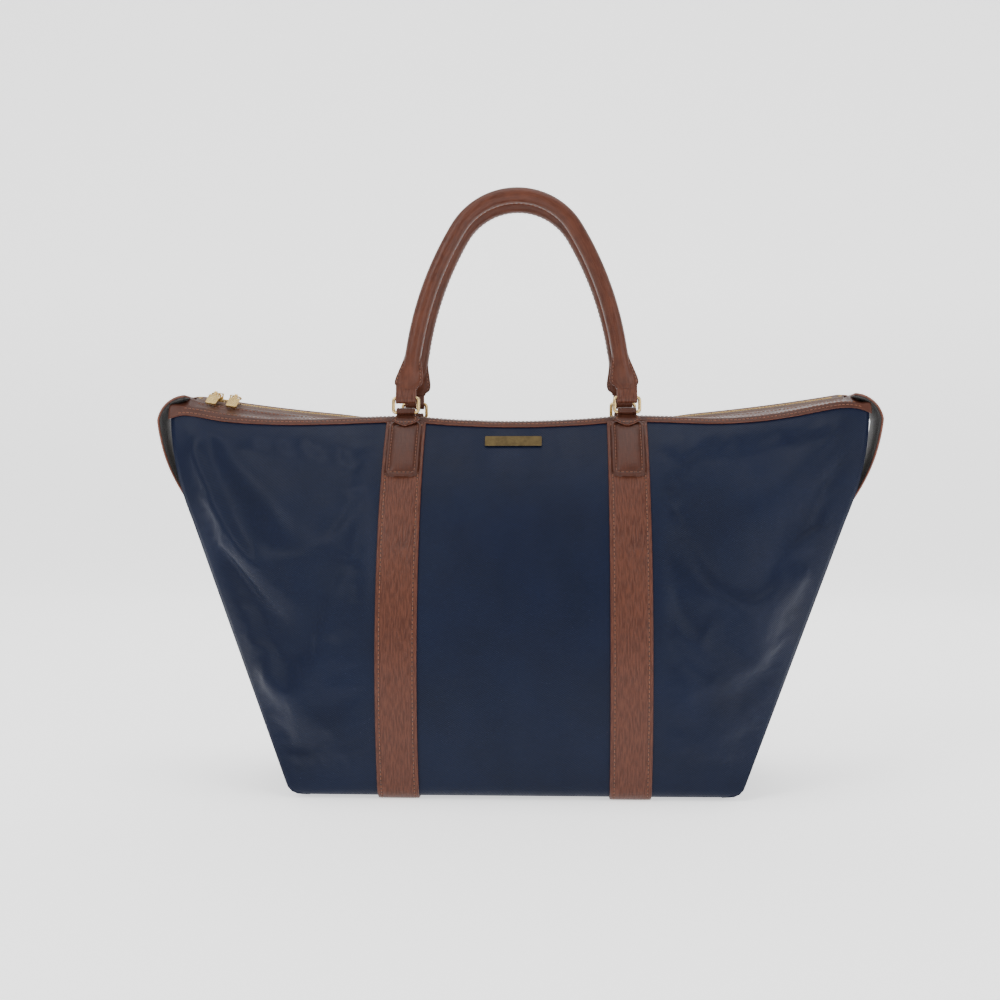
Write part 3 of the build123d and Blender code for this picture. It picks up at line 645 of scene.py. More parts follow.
STEEL = metal("BackingSteel", colour(150, 150, 152), colour(110, 110, 114), 0.35)


# ---- body: one stuffed shell of five sewn panels ----
def settle(obj, pinned, frames, grow, pressure, stiffness, cap):
    """Cloth simulation held at the pinned points, then applied. No point moves further than cap."""
    rest = [v.co.copy() for v in obj.data.vertices]
    group = obj.vertex_groups.new(name="Held")
    for index, weight in pinned.items():
        group.add([index], weight, "REPLACE")
    cloth_modifier = obj.modifiers.new("Cloth", "CLOTH")
    settings = cloth_modifier.settings
    settings.quality = 7
    settings.mass = 0.12
    settings.tension_stiffness = 18
    settings.compression_stiffness = 18
    settings.shear_stiffness = 9
    settings.bending_stiffness = stiffness
    settings.tension_damping = 12
    settings.bending_damping = 2
    settings.vertex_group_mass = "Held"
    settings.pin_stiffness = 1.0
    settings.shrink_min = -grow
    settings.use_pressure = True
    settings.uniform_pressure_force = pressure
    settings.effector_weights.gravity = 0.25
    scene = bpy.context.scene
    cloth_modifier.point_cache.frame_start = 1
    cloth_modifier.point_cache.frame_end = frames
    for step in range(1, frames + 1):
        scene.frame_set(step)
    depsgraph = bpy.context.evaluated_depsgraph_get()
    moved = [v.co.copy() for v in obj.evaluated_get(depsgraph).data.vertices]
    obj.modifiers.remove(cloth_modifier)
    obj.vertex_groups.clear()
    for vertex, before, after in zip(obj.data.vertices, rest, moved):
        shift = after - before
        if shift.length > cap:
            shift *= cap / shift.length
        vertex.co = before + shift
    obj.data.update()
    scene.frame_set(1)


def thicken(obj, thickness, rim=0):
    """Gives a sheet its thickness, away from its outer face. rim is the material step of the cut edge."""
    solid = obj.modifiers.new("Thickness", "SOLIDIFY")
    solid.thickness = thickness
    solid.offset = -1.0
    solid.use_even_offset = True
    solid.material_offset_rim = rim


def wall_panel(side, name, node):
    """Front (side -1) or rear panel, with folds, settled between its seams and straps."""
    columns, rows = 139, 81
    points, uvs, pinned = [], [], {}
    for r in range(rows):
        t = r / (rows - 1)
        for c in range(columns):
            s = -1 + 2 * c / (columns - 1)
            top = length_up(edge_z(s * WING_X) - 0.0012)
            q = t * top
            z, _ = rolled(q)
            x = s * seam_x(z)
            hold = free(x, z)
            lift = fold(x, z, side) * hold
            points.append(wall_point(x, q, side, lift))
            uvs.append((x * side * -1, q))
            loose = hold * (0.30 + 0.70 * smooth(0.070, 0.125, abs(x)))
            if loose < 0.999:
                pinned[len(points) - 1] = 1 - loose
    obj = piece(
        name, points, grid_faces(rows, columns, flip=side > 0), uvs, [NAVY],
        slot="nylon_navy", replaces=[node],
    )
    settle(obj, pinned, 14, 0.012, 0.3, 5.0, 0.005)
    thicken(obj, NYLON_THICK)


def gusset_point(side, v, q):
    """A point on the left (side -1) or right gusset, v from -1 at the front seam to 1 at the rear."""
    z, under = rolled(q)
    inward = GUSSET_SINK * (1 - abs(v) ** 2.6) * smooth(0.0, 0.05, z) + under * 0.6
    return Vector((side * (seam_x(z) - inward), v * seam_depth(z) * (1 - under / 0.12), z))


def gusset_panel(side, name, node):
    """Side panel between the seams, drawn in where the side tab holds it."""
    columns, rows = 41, 81
    points, uvs, pinned = [], [], {}
    top = length_up(edge_z(side * WING_X))
    for r in range(rows):
        q = top * r / (rows - 1)
        z, _ = rolled(q)
        for c in range(columns):
            v = -1 + 2 * c / (columns - 1)
            point = gusset_point(side, v, q)
            y = v * seam_depth(z)
            tab = max(1 - smooth(0.011, 0.024, abs(y)), 0.0) if z > 0.222 else 0.0
            hold = max(tab, smooth(0.86, 0.99, abs(v)), 1 - smooth(0.012, 0.05, z), smooth(0.30, 0.325, z))
            loose = 1 - hold
            crease = noise.noise(Vector((y * 20, z * 13, side * 5.1))) * 0.003
            crease -= 0.002 * math.sin(abs(y) * 90 + z * 30) * smooth(0.02, 0.06, abs(y))
            point.x += side * crease * loose
            points.append(point)
            uvs.append((y, q))
            if hold > 0.001:
                pinned[len(points) - 1] = hold
    obj = piece(
        name, points, grid_faces(rows, columns, flip=side < 0), uvs, [NAVY],
        slot="nylon_navy", replaces=[node],
    )
    settle(obj, pinned, 12, 0.010, 0.1, 5.0, 0.003)
    thicken(obj, NYLON_THICK)


def bottom_panel():
    """Flat base panel inside the rolled edges."""
    columns, rows = 49, 25
    points, uvs = [], []
    for r in range(rows):
        v = -1 + 2 * r / (rows - 1)
        for c in range(columns):
            s = -1 + 2 * c / (columns - 1)
            x = s * (seam_x(BASE_Z + 0.0001) - 0.0002)
            limit = wall_depth(x, BASE_Z) - BOTTOM_ROLL + 0.0008
            y = v * limit
            sag = 0.0006 * (1 - abs(v)) * noise.noise(Vector((x * 20, y * 20, 2)))
            points.append(Vector((x, y, BASE_Z + 0.0002 + max(0.0, sag))))
            uvs.append((x, y))
    obj = piece(
        "base_cloth", points, grid_faces(rows, columns, flip=True), uvs, [NAVY],
        slot="nylon_navy", replaces=["base_panel"],
    )
    thicken(obj, NYLON_THICK)


LINING_THICK = 0.0005
LINING_INSET = 0.0150        # clear of the folds, in from the walls
LINING_INSET_X = 0.0120      # and in from the gussets


def lining_bag():
    """Lining, hanging just inside the shell."""
    columns, rows = 81, 31
    points, uvs, faces = [], [], []
    for side in (-1, 1):
        base = len(points)
        for r in range(rows):
            for c in range(columns):
                s = -1 + 2 * c / (columns - 1)
                top = length_up(edge_z(s * WING_X) - 0.008)
                q = top * r / (rows - 1)
                z, under = rolled(q)
                z = max(z, BASE_Z + 0.0022)
                x = s * (seam_x(z) - LINING_INSET_X)
                y = wall_depth(x, z) - under - LINING_INSET - 0.004 * abs(s) ** 8
                points.append(Vector((x, side * y, z)))
                uvs.append((x, q))
        faces += [tuple(base + v for v in f) for f in grid_faces(rows, columns, flip=side > 0)]
    half = rows * columns
    for r in range(rows - 1):
        for c in (0, columns - 1):
            a, b = r * columns + c, (r + 1) * columns + c
            quad = (a, b, half + b, half + a)
            faces.append(quad if c == 0 else quad[::-1])
    for c in range(columns - 1):
        faces.append((c + 1, c, half + c, half + c + 1))
    obj = piece(
        "lining_cloth_bag", points, faces, uvs, [LINING_CLOTH], slot="lining_cloth", replaces=["lining"]
    )
    thicken(obj, LINING_THICK)


for side, which in ((-1, "front"), (1, "rear")):
    wall_panel(side, which + "_cloth", which + "_panel")
for side, which in ((-1, "left"), (1, "right")):
    gusset_panel(side, which + "_gusset_cloth", which + "_gusset")
bottom_panel()
lining_bag()


# ---- straps under and up the body ----
def on_wall(x, q, side, layer):
    """(point, normal) on the wall, raised by a layer, for stitches."""
    return wall_point(x, q, side, layer), wall_normal(x, q, side)


def spaced(a, b, step):
    """Evenly spaced values from a to b."""
    count = max(1, round(abs(b - a) / step))
    return [a + (b - a) * k / count for k in range(count + 1)]


STRAP_TOP_Z = 0.3174
STRAP_THICK = 0.002


def wall_strap(side, x0, name, node):
    """Leather strap up one wall, turned under the base at its foot."""
    heights = spaced(0.0, ROLL_LENGTH, 0.0018) + spaced(ROLL_LENGTH + 0.003, length_up(STRAP_TOP_Z), 0.0045)

    def place(i, w, h):
        return wall_point(x0 + w * side, heights[i], side, 0.0001 + h)

    section = leather_section(STRAP_HALF, STRAP_THICK, dome=0.0001)
    swept(name, len(heights), lambda i: section, place, [STRAP_LEATHER, EDGE_PAINT], replaces=[node])
    rows = []
    for edge in (-1, 1):
        x = x0 + edge * (STRAP_HALF - GROOVE_IN)
        rows.append([on_wall(x, q, side, 0.00195) for q in spaced(0.002, length_up(0.3155), 0.002)])
    stitches(name + "_stitches", rows)


def base_strap(x0, name, node):
    """Length of strap under the base."""
    limit = wall_depth(x0, BASE_Z) - BOTTOM_ROLL + 0.0004
    ys = spaced(-limit, limit, 0.006)

    def place(i, w, h):
        return Vector((x0 + w, ys[i], BASE_Z - 0.0001 - h))

    section = leather_section(STRAP_HALF, STRAP_THICK)
    swept(name, len(ys), lambda i: section, place, [STRAP_LEATHER, EDGE_PAINT], replaces=[node])
    rows = []
    for edge in (-1, 1):
        x = x0 + edge * (STRAP_HALF - GROOVE_IN)
        rows.append([(Vector((x, y, BASE_Z - 0.00195)), Vector((0, 0, -1))) for y in ys])
    stitches(name + "_stitches", rows)


# ---- pads on the strap tops ----
PAD_HALF = 0.0145
PAD_LOW_Z = 0.268
PAD_TOP_Z = 0.317
PAD_CORNER = 0.0042
PAD_STITCH_IN = 0.0035
# Height of the pad over the wall, by distance in from its edge.
PAD_RISE = [
    (0.0, 0.00215), (0.00025, 0.0040), (0.0007, 0.0047), (0.0013, 0.0050), (0.0022, 0.0050),
    (0.0029, 0.0047), (0.0033, 0.0041), (0.0037, 0.0041), (0.0042, 0.0047), (0.0054, 0.0054),
    (0.0074, 0.0059), (0.0100, 0.0061),
]


def interpolate(table, at):
    """Value of a table of (place, value) pairs, straight between them."""
    if at <= table[0][0]:
        return table[0][1]
    for (a, va), (b, vb) in zip(table, table[1:]):
        if at <= b:
            return va + (vb - va) * (at - a) / (b - a)
    return table[-1][1]


def handle_pad(side, x0, name, node):
    """Padded patch: raised border, sewn channel, crowned middle."""
    offsets = [d for d, _ in PAD_RISE] + [0.0122]
    heights = [PAD_LOW_Z + d for d in offsets] + spaced(PAD_LOW_Z + 0.0155, PAD_TOP_Z - 0.0155, 0.0035)
    heights += [PAD_TOP_Z - d for d in reversed(offsets)]
    points, uvs = [], []
    columns = 2 * len(offsets) + 1
    reach = PAD_CORNER * 1.6
    for z in heights:
        end = min(z - PAD_LOW_Z, PAD_TOP_Z - z)
        cut = 0.0
        if end < PAD_CORNER:
            cut = PAD_CORNER - math.sqrt(max(0.0, PAD_CORNER**2 - (PAD_CORNER - end) ** 2))
        half = PAD_HALF - cut
        across = [-half + d * half / PAD_HALF for d in offsets] + [0.0]
        across += [-w for w in reversed(across[:-1])]
        for w in across:
            side_gap = half - abs(w)
            gap = min(side_gap, end)
            if end < reach and side_gap < reach:
                gap = max(0.0, reach - math.hypot(reach - side_gap, reach - end))
            rise = interpolate(PAD_RISE, gap)
            rise -= 0.0003 * smooth(0.309, 0.312, z)
            if gap > 0.004:
                rise += 0.00012 * noise.noise(Vector((w * 260, z * 200, x0 * 50 + side)))
            points.append(wall_point(x0 + w, length_up(z), side, rise))
            uvs.append((w, z))
    pad = piece(
        name, points, grid_faces(len(heights), columns, flip=side > 0), uvs, [PLAIN_LEATHER],
        slot="brown_leather", replaces=[node],
    )
    loop = []
    low, high = PAD_LOW_Z + PAD_STITCH_IN, PAD_TOP_Z - 0.0045
    right = PAD_HALF - PAD_STITCH_IN
    turn = 0.0022
    for a in (math.radians(d) for d in range(-90, 1, 15)):
        loop.append((right - turn + turn * math.cos(a), low + turn + turn * math.sin(a)))
    loop.append((right, high))
    outline = [(-w, z) for w, z in reversed(loop)] + loop
    outline = [Vector((w, 0, z)) for w, z in outline]
    line = resample(outline, 0.0012)
    row = [on_wall(x0 + p.x, length_up(p.z), side, 0.0041) for p in line]
    stitches(name + "_stitches", [row], pitch=0.0036)


# ---- chapes: leather folded round the ring's lower bar, sewn down in a point ----
RING_Y = 0.039496             # the ring's lower bar
RING_Z = 0.3265
CHAPE_HALF = 0.0080
CHAPE_FLARE = 0.0121
CHAPE_THICK = 0.0014
CHAPE_TIP_Z = 0.3102


def chape_half(s, _total):
    """Half width of the chape, s up from its point."""
    if s < 0.0068:
        return 0.0010 + (CHAPE_FLARE - 0.0010) * (s / 0.0068) ** 0.72
    return CHAPE_FLARE + (CHAPE_HALF - CHAPE_FLARE) * smooth(0.0068, 0.0135, s)


def chape(side, x0, name, node, bar):
    """Chape whose inner face turns round the ring's lower bar."""
    def on(z, layer):
        return wall_point(x0, length_up(z), side, layer)

    front = [
        on(z, layer) for z, layer in
        ((CHAPE_TIP_Z, 0.0060), (0.3125, 0.0062), (0.3150, 0.0063), (0.3175, 0.0064), (0.3200, 0.0072))
    ]
    outward = wall_normal(x0, length_up(bar.z), side)
    up = (Vector((0, 0, 1)) - outward * outward.z).normalized()
    loop = []
    for angle in (math.radians(d) for d in range(-40, 221, 13)):
        reach = 0.0037 if math.sin(angle) > 0 else 0.0019
        loop.append(bar + outward * math.cos(angle) * 0.0020 + up * math.sin(angle) * reach)
    back = [on(0.3215, 0.0056), on(0.3185, 0.0044), on(0.3155, 0.0042)]
    line = resample(front + loop + back, 0.0009)
    across = Vector((side, 0, 0))
    ribbon(
        name, line, across, chape_half, CHAPE_THICK, [PLAIN_LEATHER, EDGE_PAINT], groove_in=0.0026,
        replaces=[node],
    )
    frames = frames_along(line, across)
    lengths = measured(line)
    left, right = [], []
    for (point, _, normal), s in zip(frames, lengths):
        if 0.0030 < s < 0.0100:
            w = chape_half(s, 0) - 0.0026
            left.append((point + across * -w + normal * CHAPE_THICK, normal))
            right.append((point + across * w + normal * CHAPE_THICK, normal))
    stitches(name + "_stitches", [left[::-1] + right], pitch=0.0030)


# ---- zip facings with the top binding: one leather from the zip, over the edge, onto the wall ----
FACING_THICK = 0.0014
FACING_END = 0.3105
RIDGE_Y = 0.0088
SHOULDER_Y = 0.0215
SHOULDER_DROP = 0.0098


def ridge(x, side):
    """(y, z) of the facing's inner edge: beside the zip, closing over the bag's end past it."""
    far = abs(x)
    y = RIDGE_Y + (0.0002 - RIDGE_Y) * smooth(0.2910, 0.3010, far)
    z = zip_z(x)
    if far > 0.2935:
        z = zip_z(0.2935) + (0.3360 - zip_z(0.2935)) * smooth(0.2935, FACING_END, far)
    tilt = smooth(0.110, 0.165, far) * (1 - smooth(0.285, 0.300, far))
    lift = 0.0008 + (0.0022 if side > 0 else -0.0030) * tilt
    return y, z + lift


def facing_section(x, side):
    """Points across the facing, from the ridge to the binding's lower edge, on its outer face."""
    ridge_y, ridge_z = ridge(x, side)
    edge = edge_z(x)
    edge_y = wall_depth(min(abs(x), 0.3085), edge)
    shoulder_y = min(SHOULDER_Y, edge_y - 0.0006)
    shoulder_z = max(edge + 0.0010, min(zip_z(x) - SHOULDER_DROP + 0.0008, ridge_z - 0.0012))
    ridge_point = Vector((x, side * ridge_y, ridge_z))
    shoulder = Vector((x, side * shoulder_y, shoulder_z))
    top = wall_point(x, length_up(edge - 0.0002), side, 0.0017)
    top.x = x
    line = [ridge_point.lerp(shoulder, k / 6) for k in range(6)]
    line += [shoulder.lerp(top, k / 5) for k in range(5)]
    for k in range(7):
        down = wall_point(x, length_up(edge - 0.0006 + (hem_z(x) - edge + 0.0006) * k / 6), side, 0.0016)
        down.x = x
        line.append(down)
    for _ in range(2):
        line = [line[0]] + [
            line[k] * 0.5 + (line[k - 1] + line[k + 1]) * 0.25 for k in range(1, len(line) - 1)
        ] + [line[-1]]
    puff = [0, 1, 1, 1, 0.6, 0.3, 0, 0, 0, 0, 0.4, 0.8, 0.8, 0.5, 0, 0, 0, 0]
    ripple = noise.noise(Vector((x * 30, 5.0 * side, 0.0))) * 0.0006
    for k, share in enumerate(puff):
        line[k] += Vector((0, 0, 1)) * share * ripple
    return line


def facing(side, name, nodes):
    """The whole top leather of one side."""
    xs = spaced(-FACING_END, -0.286, 0.0016) + spaced(-0.283, 0.283, 0.0036)
    xs += spaced(0.286, FACING_END, 0.0016)
    points, uvs = [], []
    sections = []
    for x in xs:
        line = facing_section(x, side)
        sections.append(line)
        run = measured(line)
        points += line
        uvs += [(run[k], x) for k in range(len(line))]
    columns = len(sections[0])
    top = piece(
        name, points, grid_faces(len(xs), columns, flip=side > 0), uvs, [PLAIN_LEATHER, EDGE_PAINT],
        replaces=nodes,
    )
    thicken(top, FACING_THICK, rim=1)
    rows = []
    for column, limit in ((2, 0.289), (9, 0.298), (14, 0.303)):
        row = []
        for x, line in zip(xs, sections):
            if abs(x) > limit:
                continue
            blocked = column == 14 and abs(abs(x) - STRAP_X) < PAD_HALF + 0.001
            if blocked:
                if row:
                    rows.append(row)
                row = []
                continue
            across = line[column + 1] - line[column - 1]
            normal = (across.cross(Vector((1, 0, 0))) * -side).normalized()
            row.append((line[column] - normal * 0.00005, normal))
        rows.append(row)
    rows = [row for row in rows if len(row) > 2]
    stitches(name + "_stitches", rows, pitch=0.0036)


# ---- zip: tapes and teeth ----
def zip_tape(side, name, node):
    """Woven tape that carries one row of teeth."""
    points, uvs = [], []
    xs = spaced(-0.290, 0.290, 0.004)
    ys = [0.0036, 0.0046, 0.0058, 0.0072, 0.0086]
    for x in xs:
        _, ridge_z = ridge(x, side)
        for y in ys:
            slope = (ridge_z - 0.0010 - zip_z(x)) * smooth(0.0042, 0.0086, y)
            points.append(Vector((x, side * y, zip_z(x) + 0.0003 + slope)))
            uvs.append((y, x))
    tape = piece(
        name, points, grid_faces(len(xs), len(ys), flip=side > 0), uvs, [TAPE_CLOTH],
        slot="zip_tape_cloth", replaces=[node],
    )
    thicken(tape, 0.0007)


TOOTH_PITCH = 0.0030
TOOTH_COUNT = 94
TOOTH_PLAN = [
    (0.00034, 0.00055), (0.00034, -0.00055), (0.00075, -0.00085), (0.00175, -0.00085), (0.00225, -0.00055),
    (0.0042, -0.00060), (0.0042, 0.00060), (0.00225, 0.00055), (0.00175, 0.00085), (0.00075, 0.00085),
]


def teeth(side, shift, name, node):
    """One row of metal teeth: clamped leg on the tape, rounded head towards the other row."""
    points, faces, uvs = [], [], []
    layers = [(-0.00130, 0.82), (-0.00095, 1.0), (0.00095, 1.0), (0.00130, 0.82)]
    size = len(TOOTH_PLAN)
    for i in range(-TOOTH_COUNT, TOOTH_COUNT):
        angle = TOOTH_PITCH * (i + shift) / ZIP_RADIUS
        if abs(math.sin(angle) * ZIP_RADIUS) > 0.2855:
            continue
        along = Vector((math.cos(angle), 0, math.sin(angle)))
        up = Vector((-math.sin(angle), 0, math.cos(angle)))
        centre = Vector((0, 0, ZIP_LOW_Z + ZIP_RADIUS)) - up * ZIP_RADIUS
        base = len(points)
        for h, shrink in layers:
            for y, a in TOOTH_PLAN:
                inset_y = y + (0.0022 - y) * (1 - shrink) * 0.5
                points.append(centre + along * a * shrink + Vector((0, side * inset_y, 0)) + up * h)
                uvs.append((a, y))
        for level in range(len(layers) - 1):
            for c in range(size):
                d = (c + 1) % size
                quad = (
                    base + level * size + c, base + level * size + d,
                    base + (level + 1) * size + d, base + (level + 1) * size + c,
                )
                faces.append(quad if side < 0 else quad[::-1])
        bottom = tuple(range(base, base + size))
        top = tuple(range(base + 3 * size, base + 4 * size))
        faces.append(bottom[::-1] if side < 0 else bottom)
        faces.append(top if side < 0 else top[::-1])
    row = piece(name, points, faces, uvs, [ZIP_BRASS], slot="pale_brass", replaces=[node])
    row.data.polygons.foreach_set("use_smooth", [False] * len(row.data.polygons))


for side, name in ((-1, "front"), (1, "rear")):
    for x0, where in ((-STRAP_X, "left"), (STRAP_X, "right")):
        wall_strap(side, x0, name + "_leather_strap_" + where, name + "_strap_" + where)
        handle_pad(side, x0, name + "_padded_patch_" + where, name + "_pad_" + where)
        bar = Vector((x0, side * RING_Y, RING_Z))
        chape(side, x0, name + "_leather_chape_" + where, name + "_chape_" + where, bar)
    facing(side, name + "_top_leather", [name + "_zip_facing", name + "_top_binding"])
    zip_tape(side, name + "_woven_tape", name + "_zip_tape")
teeth(-1, 0.25, "front_teeth_row", "front_zip_teeth")
teeth(1, 0.75, "rear_teeth_row", "rear_zip_teeth")
for x0, where in ((-STRAP_X, "left"), (STRAP_X, "right")):
    base_strap(x0, "base_leather_strap_" + where, "base_strap_" + where)


# ---- rolled handles ----
BAR_GAP = 0.0128
LEG_TOP = (0.089, 0.060)
HANDLE_DROP = 0.1936
CROWN_R = 0.060
TUBE_R = 0.00715
LEG_DX = STRAP_X - LEG_TOP[0]
LEG_DY = LEG_TOP[1] - BAR_GAP
LEG_DIR = (-LEG_DX / math.hypot(LEG_DX, LEG_DY), LEG_DY / math.hypot(LEG_DX, LEG_DY))
CROWN_Y = HANDLE_DROP - CROWN_R - LEG_TOP[1]
SIDE_R = (LEG_TOP[0] ** 2 + CROWN_Y**2 - CROWN_R**2) / (
    2 * (LEG_TOP[0] * LEG_DIR[1] + CROWN_Y * LEG_DIR[0] - CROWN_R)
)
# Up the leg: half width, half width and half height of the rope bulge, half thickness of the flanges.
LEAF = [
    (0.0205, (0.00860, 0.0070, 0.0020, 0.0019)),
    (0.0225, (0.00880, 0.0070, 0.0022, 0.0019)),
    (0.0237, (0.01060, 0.0072, 0.0026, 0.0018)),
    (0.0250, (0.01190, 0.0074, 0.0030, 0.0017)),
    (0.0275, (0.01250, 0.0076, 0.0037, 0.0016)),
    (0.0310, (0.01215, 0.0076, 0.0045, 0.0016)),
    (0.0360, (0.01080, 0.0074, 0.0055, 0.0015)),
    (0.0410, (0.00935, 0.0073, 0.0063, 0.0013)),
    (0.0460, (0.00800, 0.0072, 0.0069, 0.0010)),
    (0.0510, (0.00722, 0.0072, 0.00712, 0.0004)),
    (0.0560, (TUBE_R, TUBE_R, TUBE_R, 0.0001)),
]


def leaf_shape(y):
    """Section sizes of the handle, y above the lower ring bar."""
    if y <= LEAF[0][0]:
        return LEAF[0][1]
    for (a, va), (b, vb) in zip(LEAF, LEAF[1:]):
        if y <= b:
            t = (y - a) / (b - a)
            return tuple(p + (q - p) * t for p, q in zip(va, vb))
    return LEAF[-1][1]


def leg_x(y):
    """Middle of the right leg."""
    return STRAP_X - LEG_DX * (y - BAR_GAP) / LEG_DY


def handle_line():
    """Centreline of the handle in its own plane, from the right leaf to the left one."""
    right = [(leg_x(y), y) for y in spaced(LEAF[0][0], LEG_TOP[1], 0.0011)]
    centre = (LEG_TOP[0] - SIDE_R * LEG_DIR[1], LEG_TOP[1] + SIDE_R * LEG_DIR[0])
    start = math.atan2(LEG_TOP[1] - centre[1], LEG_TOP[0] - centre[0])
    end = math.atan2(HANDLE_DROP - CROWN_R - centre[1], -centre[0])
    for a in spaced(start, end, 0.012)[1:]:
        right.append((centre[0] + SIDE_R * math.cos(a), centre[1] + SIDE_R * math.sin(a)))
    for a in spaced(end, math.pi / 2, 0.05)[1:]:
        right.append((CROWN_R * math.cos(a), HANDLE_DROP - CROWN_R + CROWN_R * math.sin(a)))
    return right + [(-x, y) for x, y in reversed(right[:-1])]


def heading(line, i):
    """Unit direction of a flat line at point i."""
    ax, ay = line[max(0, i - 1)]
    bx, by = line[min(len(line) - 1, i + 1)]
    length = math.hypot(bx - ax, by - ay)
    return (bx - ax) / length, (by - ay) / length


def handle(side, lean, which):
    """Rolled leather handle: tube, flattened leaves, and a tab round each ring."""
    tilt = math.radians(lean)
    origin = Vector((0, side * RING_Y, RING_Z))
    up = Vector((0, -side * math.sin(tilt), math.cos(tilt)))
    out = Vector((0, side * math.cos(tilt), math.sin(tilt)))
    right = Vector((1, 0, 0))

    def at(x, y, n=0.0):
        return origin + right * x + up * y + out * n

    line = handle_line()
    body = which + "_handle"
    around = 36
    points, uvs = [], []
    run = 0.0
    for i, (x, y) in enumerate(line):
        tx, ty = heading(line, i)
        run += 0.0 if i == 0 else math.hypot(x - line[i - 1][0], y - line[i - 1][1])
        on_leaf = y < LEAF[-1][0]
        half, bulge_w, bulge_h, flange = leaf_shape(y) if on_leaf else LEAF[-1][1]
        turned = smooth(0.03, 0.06, y)
        wx, wy = math.copysign(1 - turned, x) + ty * turned, -tx * turned
        wobble = noise.noise(Vector((x * 45, y * 45, side * 2.0))) * 0.00018
        for k in range(around):
            angle = math.tau * k / around
            across = half * math.cos(angle)
            rise = bulge_h * math.sqrt(max(0.0, 1 - (across / bulge_w) ** 2))
            flat = flange * max(0.0, 1 - (across / half) ** 8) ** 0.5
            height = (rise**3 + flat**3) ** (1 / 3)
            face = 1 if math.sin(angle) > 0 else -1
            height = (height + wobble) * face if abs(math.sin(angle)) > 1e-6 else 0.0
            if not on_leaf:
                height = (TUBE_R + wobble) * math.sin(angle)
            points.append(at(x + wx * across, y + wy * across, height))
            uvs.append((angle * TUBE_R, run))
    rows = len(line)
    faces = grid_faces(rows, around, close_columns=True, flip=side < 0)
    caps = (tuple(range(around)), tuple((rows - 1) * around + c for c in range(around)))
    faces += [caps[0], caps[1][::-1]] if side < 0 else [caps[0][::-1], caps[1]]
    piece(which + "_rolled_handle", points, faces, uvs, [HANDLE_LEATHER], body, replaces=[which + "_handle"])
    stitch_rows = []
    for end in (-1, 1):
        for face in (-1, 1):
            for edge in (-1, 1):
                row = []
                for y in spaced(0.0256, 0.0470, 0.0008):
                    half, bulge_w, bulge_h, flange = leaf_shape(y)
                    across = half - min(0.0021, half * 0.2)
                    rise = bulge_h * math.sqrt(max(0.0, 1 - (across / bulge_w) ** 2))
                    height = (rise**3 + (flange * 0.97) ** 3) ** (1 / 3)
                    x = end * leg_x(y) + edge * across
                    row.append((at(x, y, face * height), out * face))
                stitch_rows.append(row)
    stitches(which + "_handle_stitches", stitch_rows, body, pitch=0.0029, radius=0.0003)
    seam = []
    for i in range(2, len(line) - 2):
        x, y = line[i]
        if y < 0.058:
            continue
        tx, ty = heading(line, i)
        nx, ny = -ty, tx
        seam.append((at(x + nx * (TUBE_R - 0.0001), y + ny * (TUBE_R - 0.0001)), (right * nx + up * ny)))
    stitches(which + "_handle_seam", [seam], body, pitch=0.0042, radius=0.0003)
    for end, where in ((-1, "left"), (1, "right")):
        x0 = end * STRAP_X
        turn = []
        for a in (math.radians(d) for d in range(38, -219, -13)):
            reach = 0.0037 if math.sin(a) < 0 else 0.0019
            turn.append((0.0020 * math.cos(a), BAR_GAP + reach * math.sin(a)))
        flat = [(0.00055, 0.0242), (0.00055, 0.0215), (0.0006, 0.0190), (0.0009, 0.0168)]
        track = flat + turn + [(-n, y) for n, y in reversed(flat)]
        path = resample([at(x0, y, n) for n, y in track], 0.0008)
        ribbon(
            which + "_handle_tab_" + where, path, Vector((-side, 0, 0)), lambda s, total: 0.00875, 0.0014,
            [STRAP_LEATHER, EDGE_PAINT], groove_in=0.0024, body=body,
        )


handle(-1, 5.0, "front")
handle(1, 8.0, "rear")


# ---- end straps, side tabs and their loops, drawn on the right and mirrored by side ----
def arc_through(a, b, c):
    """Points on the arc from a through b to c, in a plane of (x, z). The arc is under half a circle."""
    ax, ay = a
    bx, by = b
    cx, cy = c
    d = 2 * (ax * (by - cy) + bx * (cy - ay) + cx * (ay - by))
    ux = ((ax**2 + ay**2) * (by - cy) + (bx**2 + by**2) * (cy - ay) + (cx**2 + cy**2) * (ay - by)) / d
    uy = ((ax**2 + ay**2) * (cx - bx) + (bx**2 + by**2) * (ax - cx) + (cx**2 + cy**2) * (bx - ax)) / d
    radius = math.hypot(ax - ux, ay - uy)
    start = math.atan2(ay - uy, ax - ux)
    end = math.atan2(cy - uy, cx - ux)
    if end - start > math.pi:
        end -= math.tau
    if start - end > math.pi:
        end += math.tau
    return [(ux + radius * math.cos(t), uy + radius * math.sin(t)) for t in spaced(start, end, 0.02)]


END_TOP = (0.297, 0.344)
END_CROWN = (0.315, 0.3355)
END_OUT = (0.322, 0.321)
END_BOW = (0.3115, 0.279)
END_FOOT = (0.2885, 0.238)
END_THICK = 0.002
END_HALF = 0.022
END_FOOT_HALF = 0.015
END_TIP = 0.009              # length of the rounded tip
END_LINING_THICK = 0.0009


def end_track():
    """Outer face of the right end strap, from its sewn end to its foot."""
    upper = arc_through(END_TOP, END_CROWN, END_OUT)
    lower = arc_through(END_OUT, END_BOW, END_FOOT)
    return upper + lower[1:]


def end_half(s, total):
    """Half width of the end strap, s along it from its sewn end."""
    left = total - s
    half = END_FOOT_HALF + (END_HALF - END_FOOT_HALF) * smooth(0.004, 0.060, left)
    if left < END_TIP:
        half *= math.sqrt(max(0.0, 1 - (1 - left / END_TIP) ** 2)) * 0.55 + 0.45
    return half


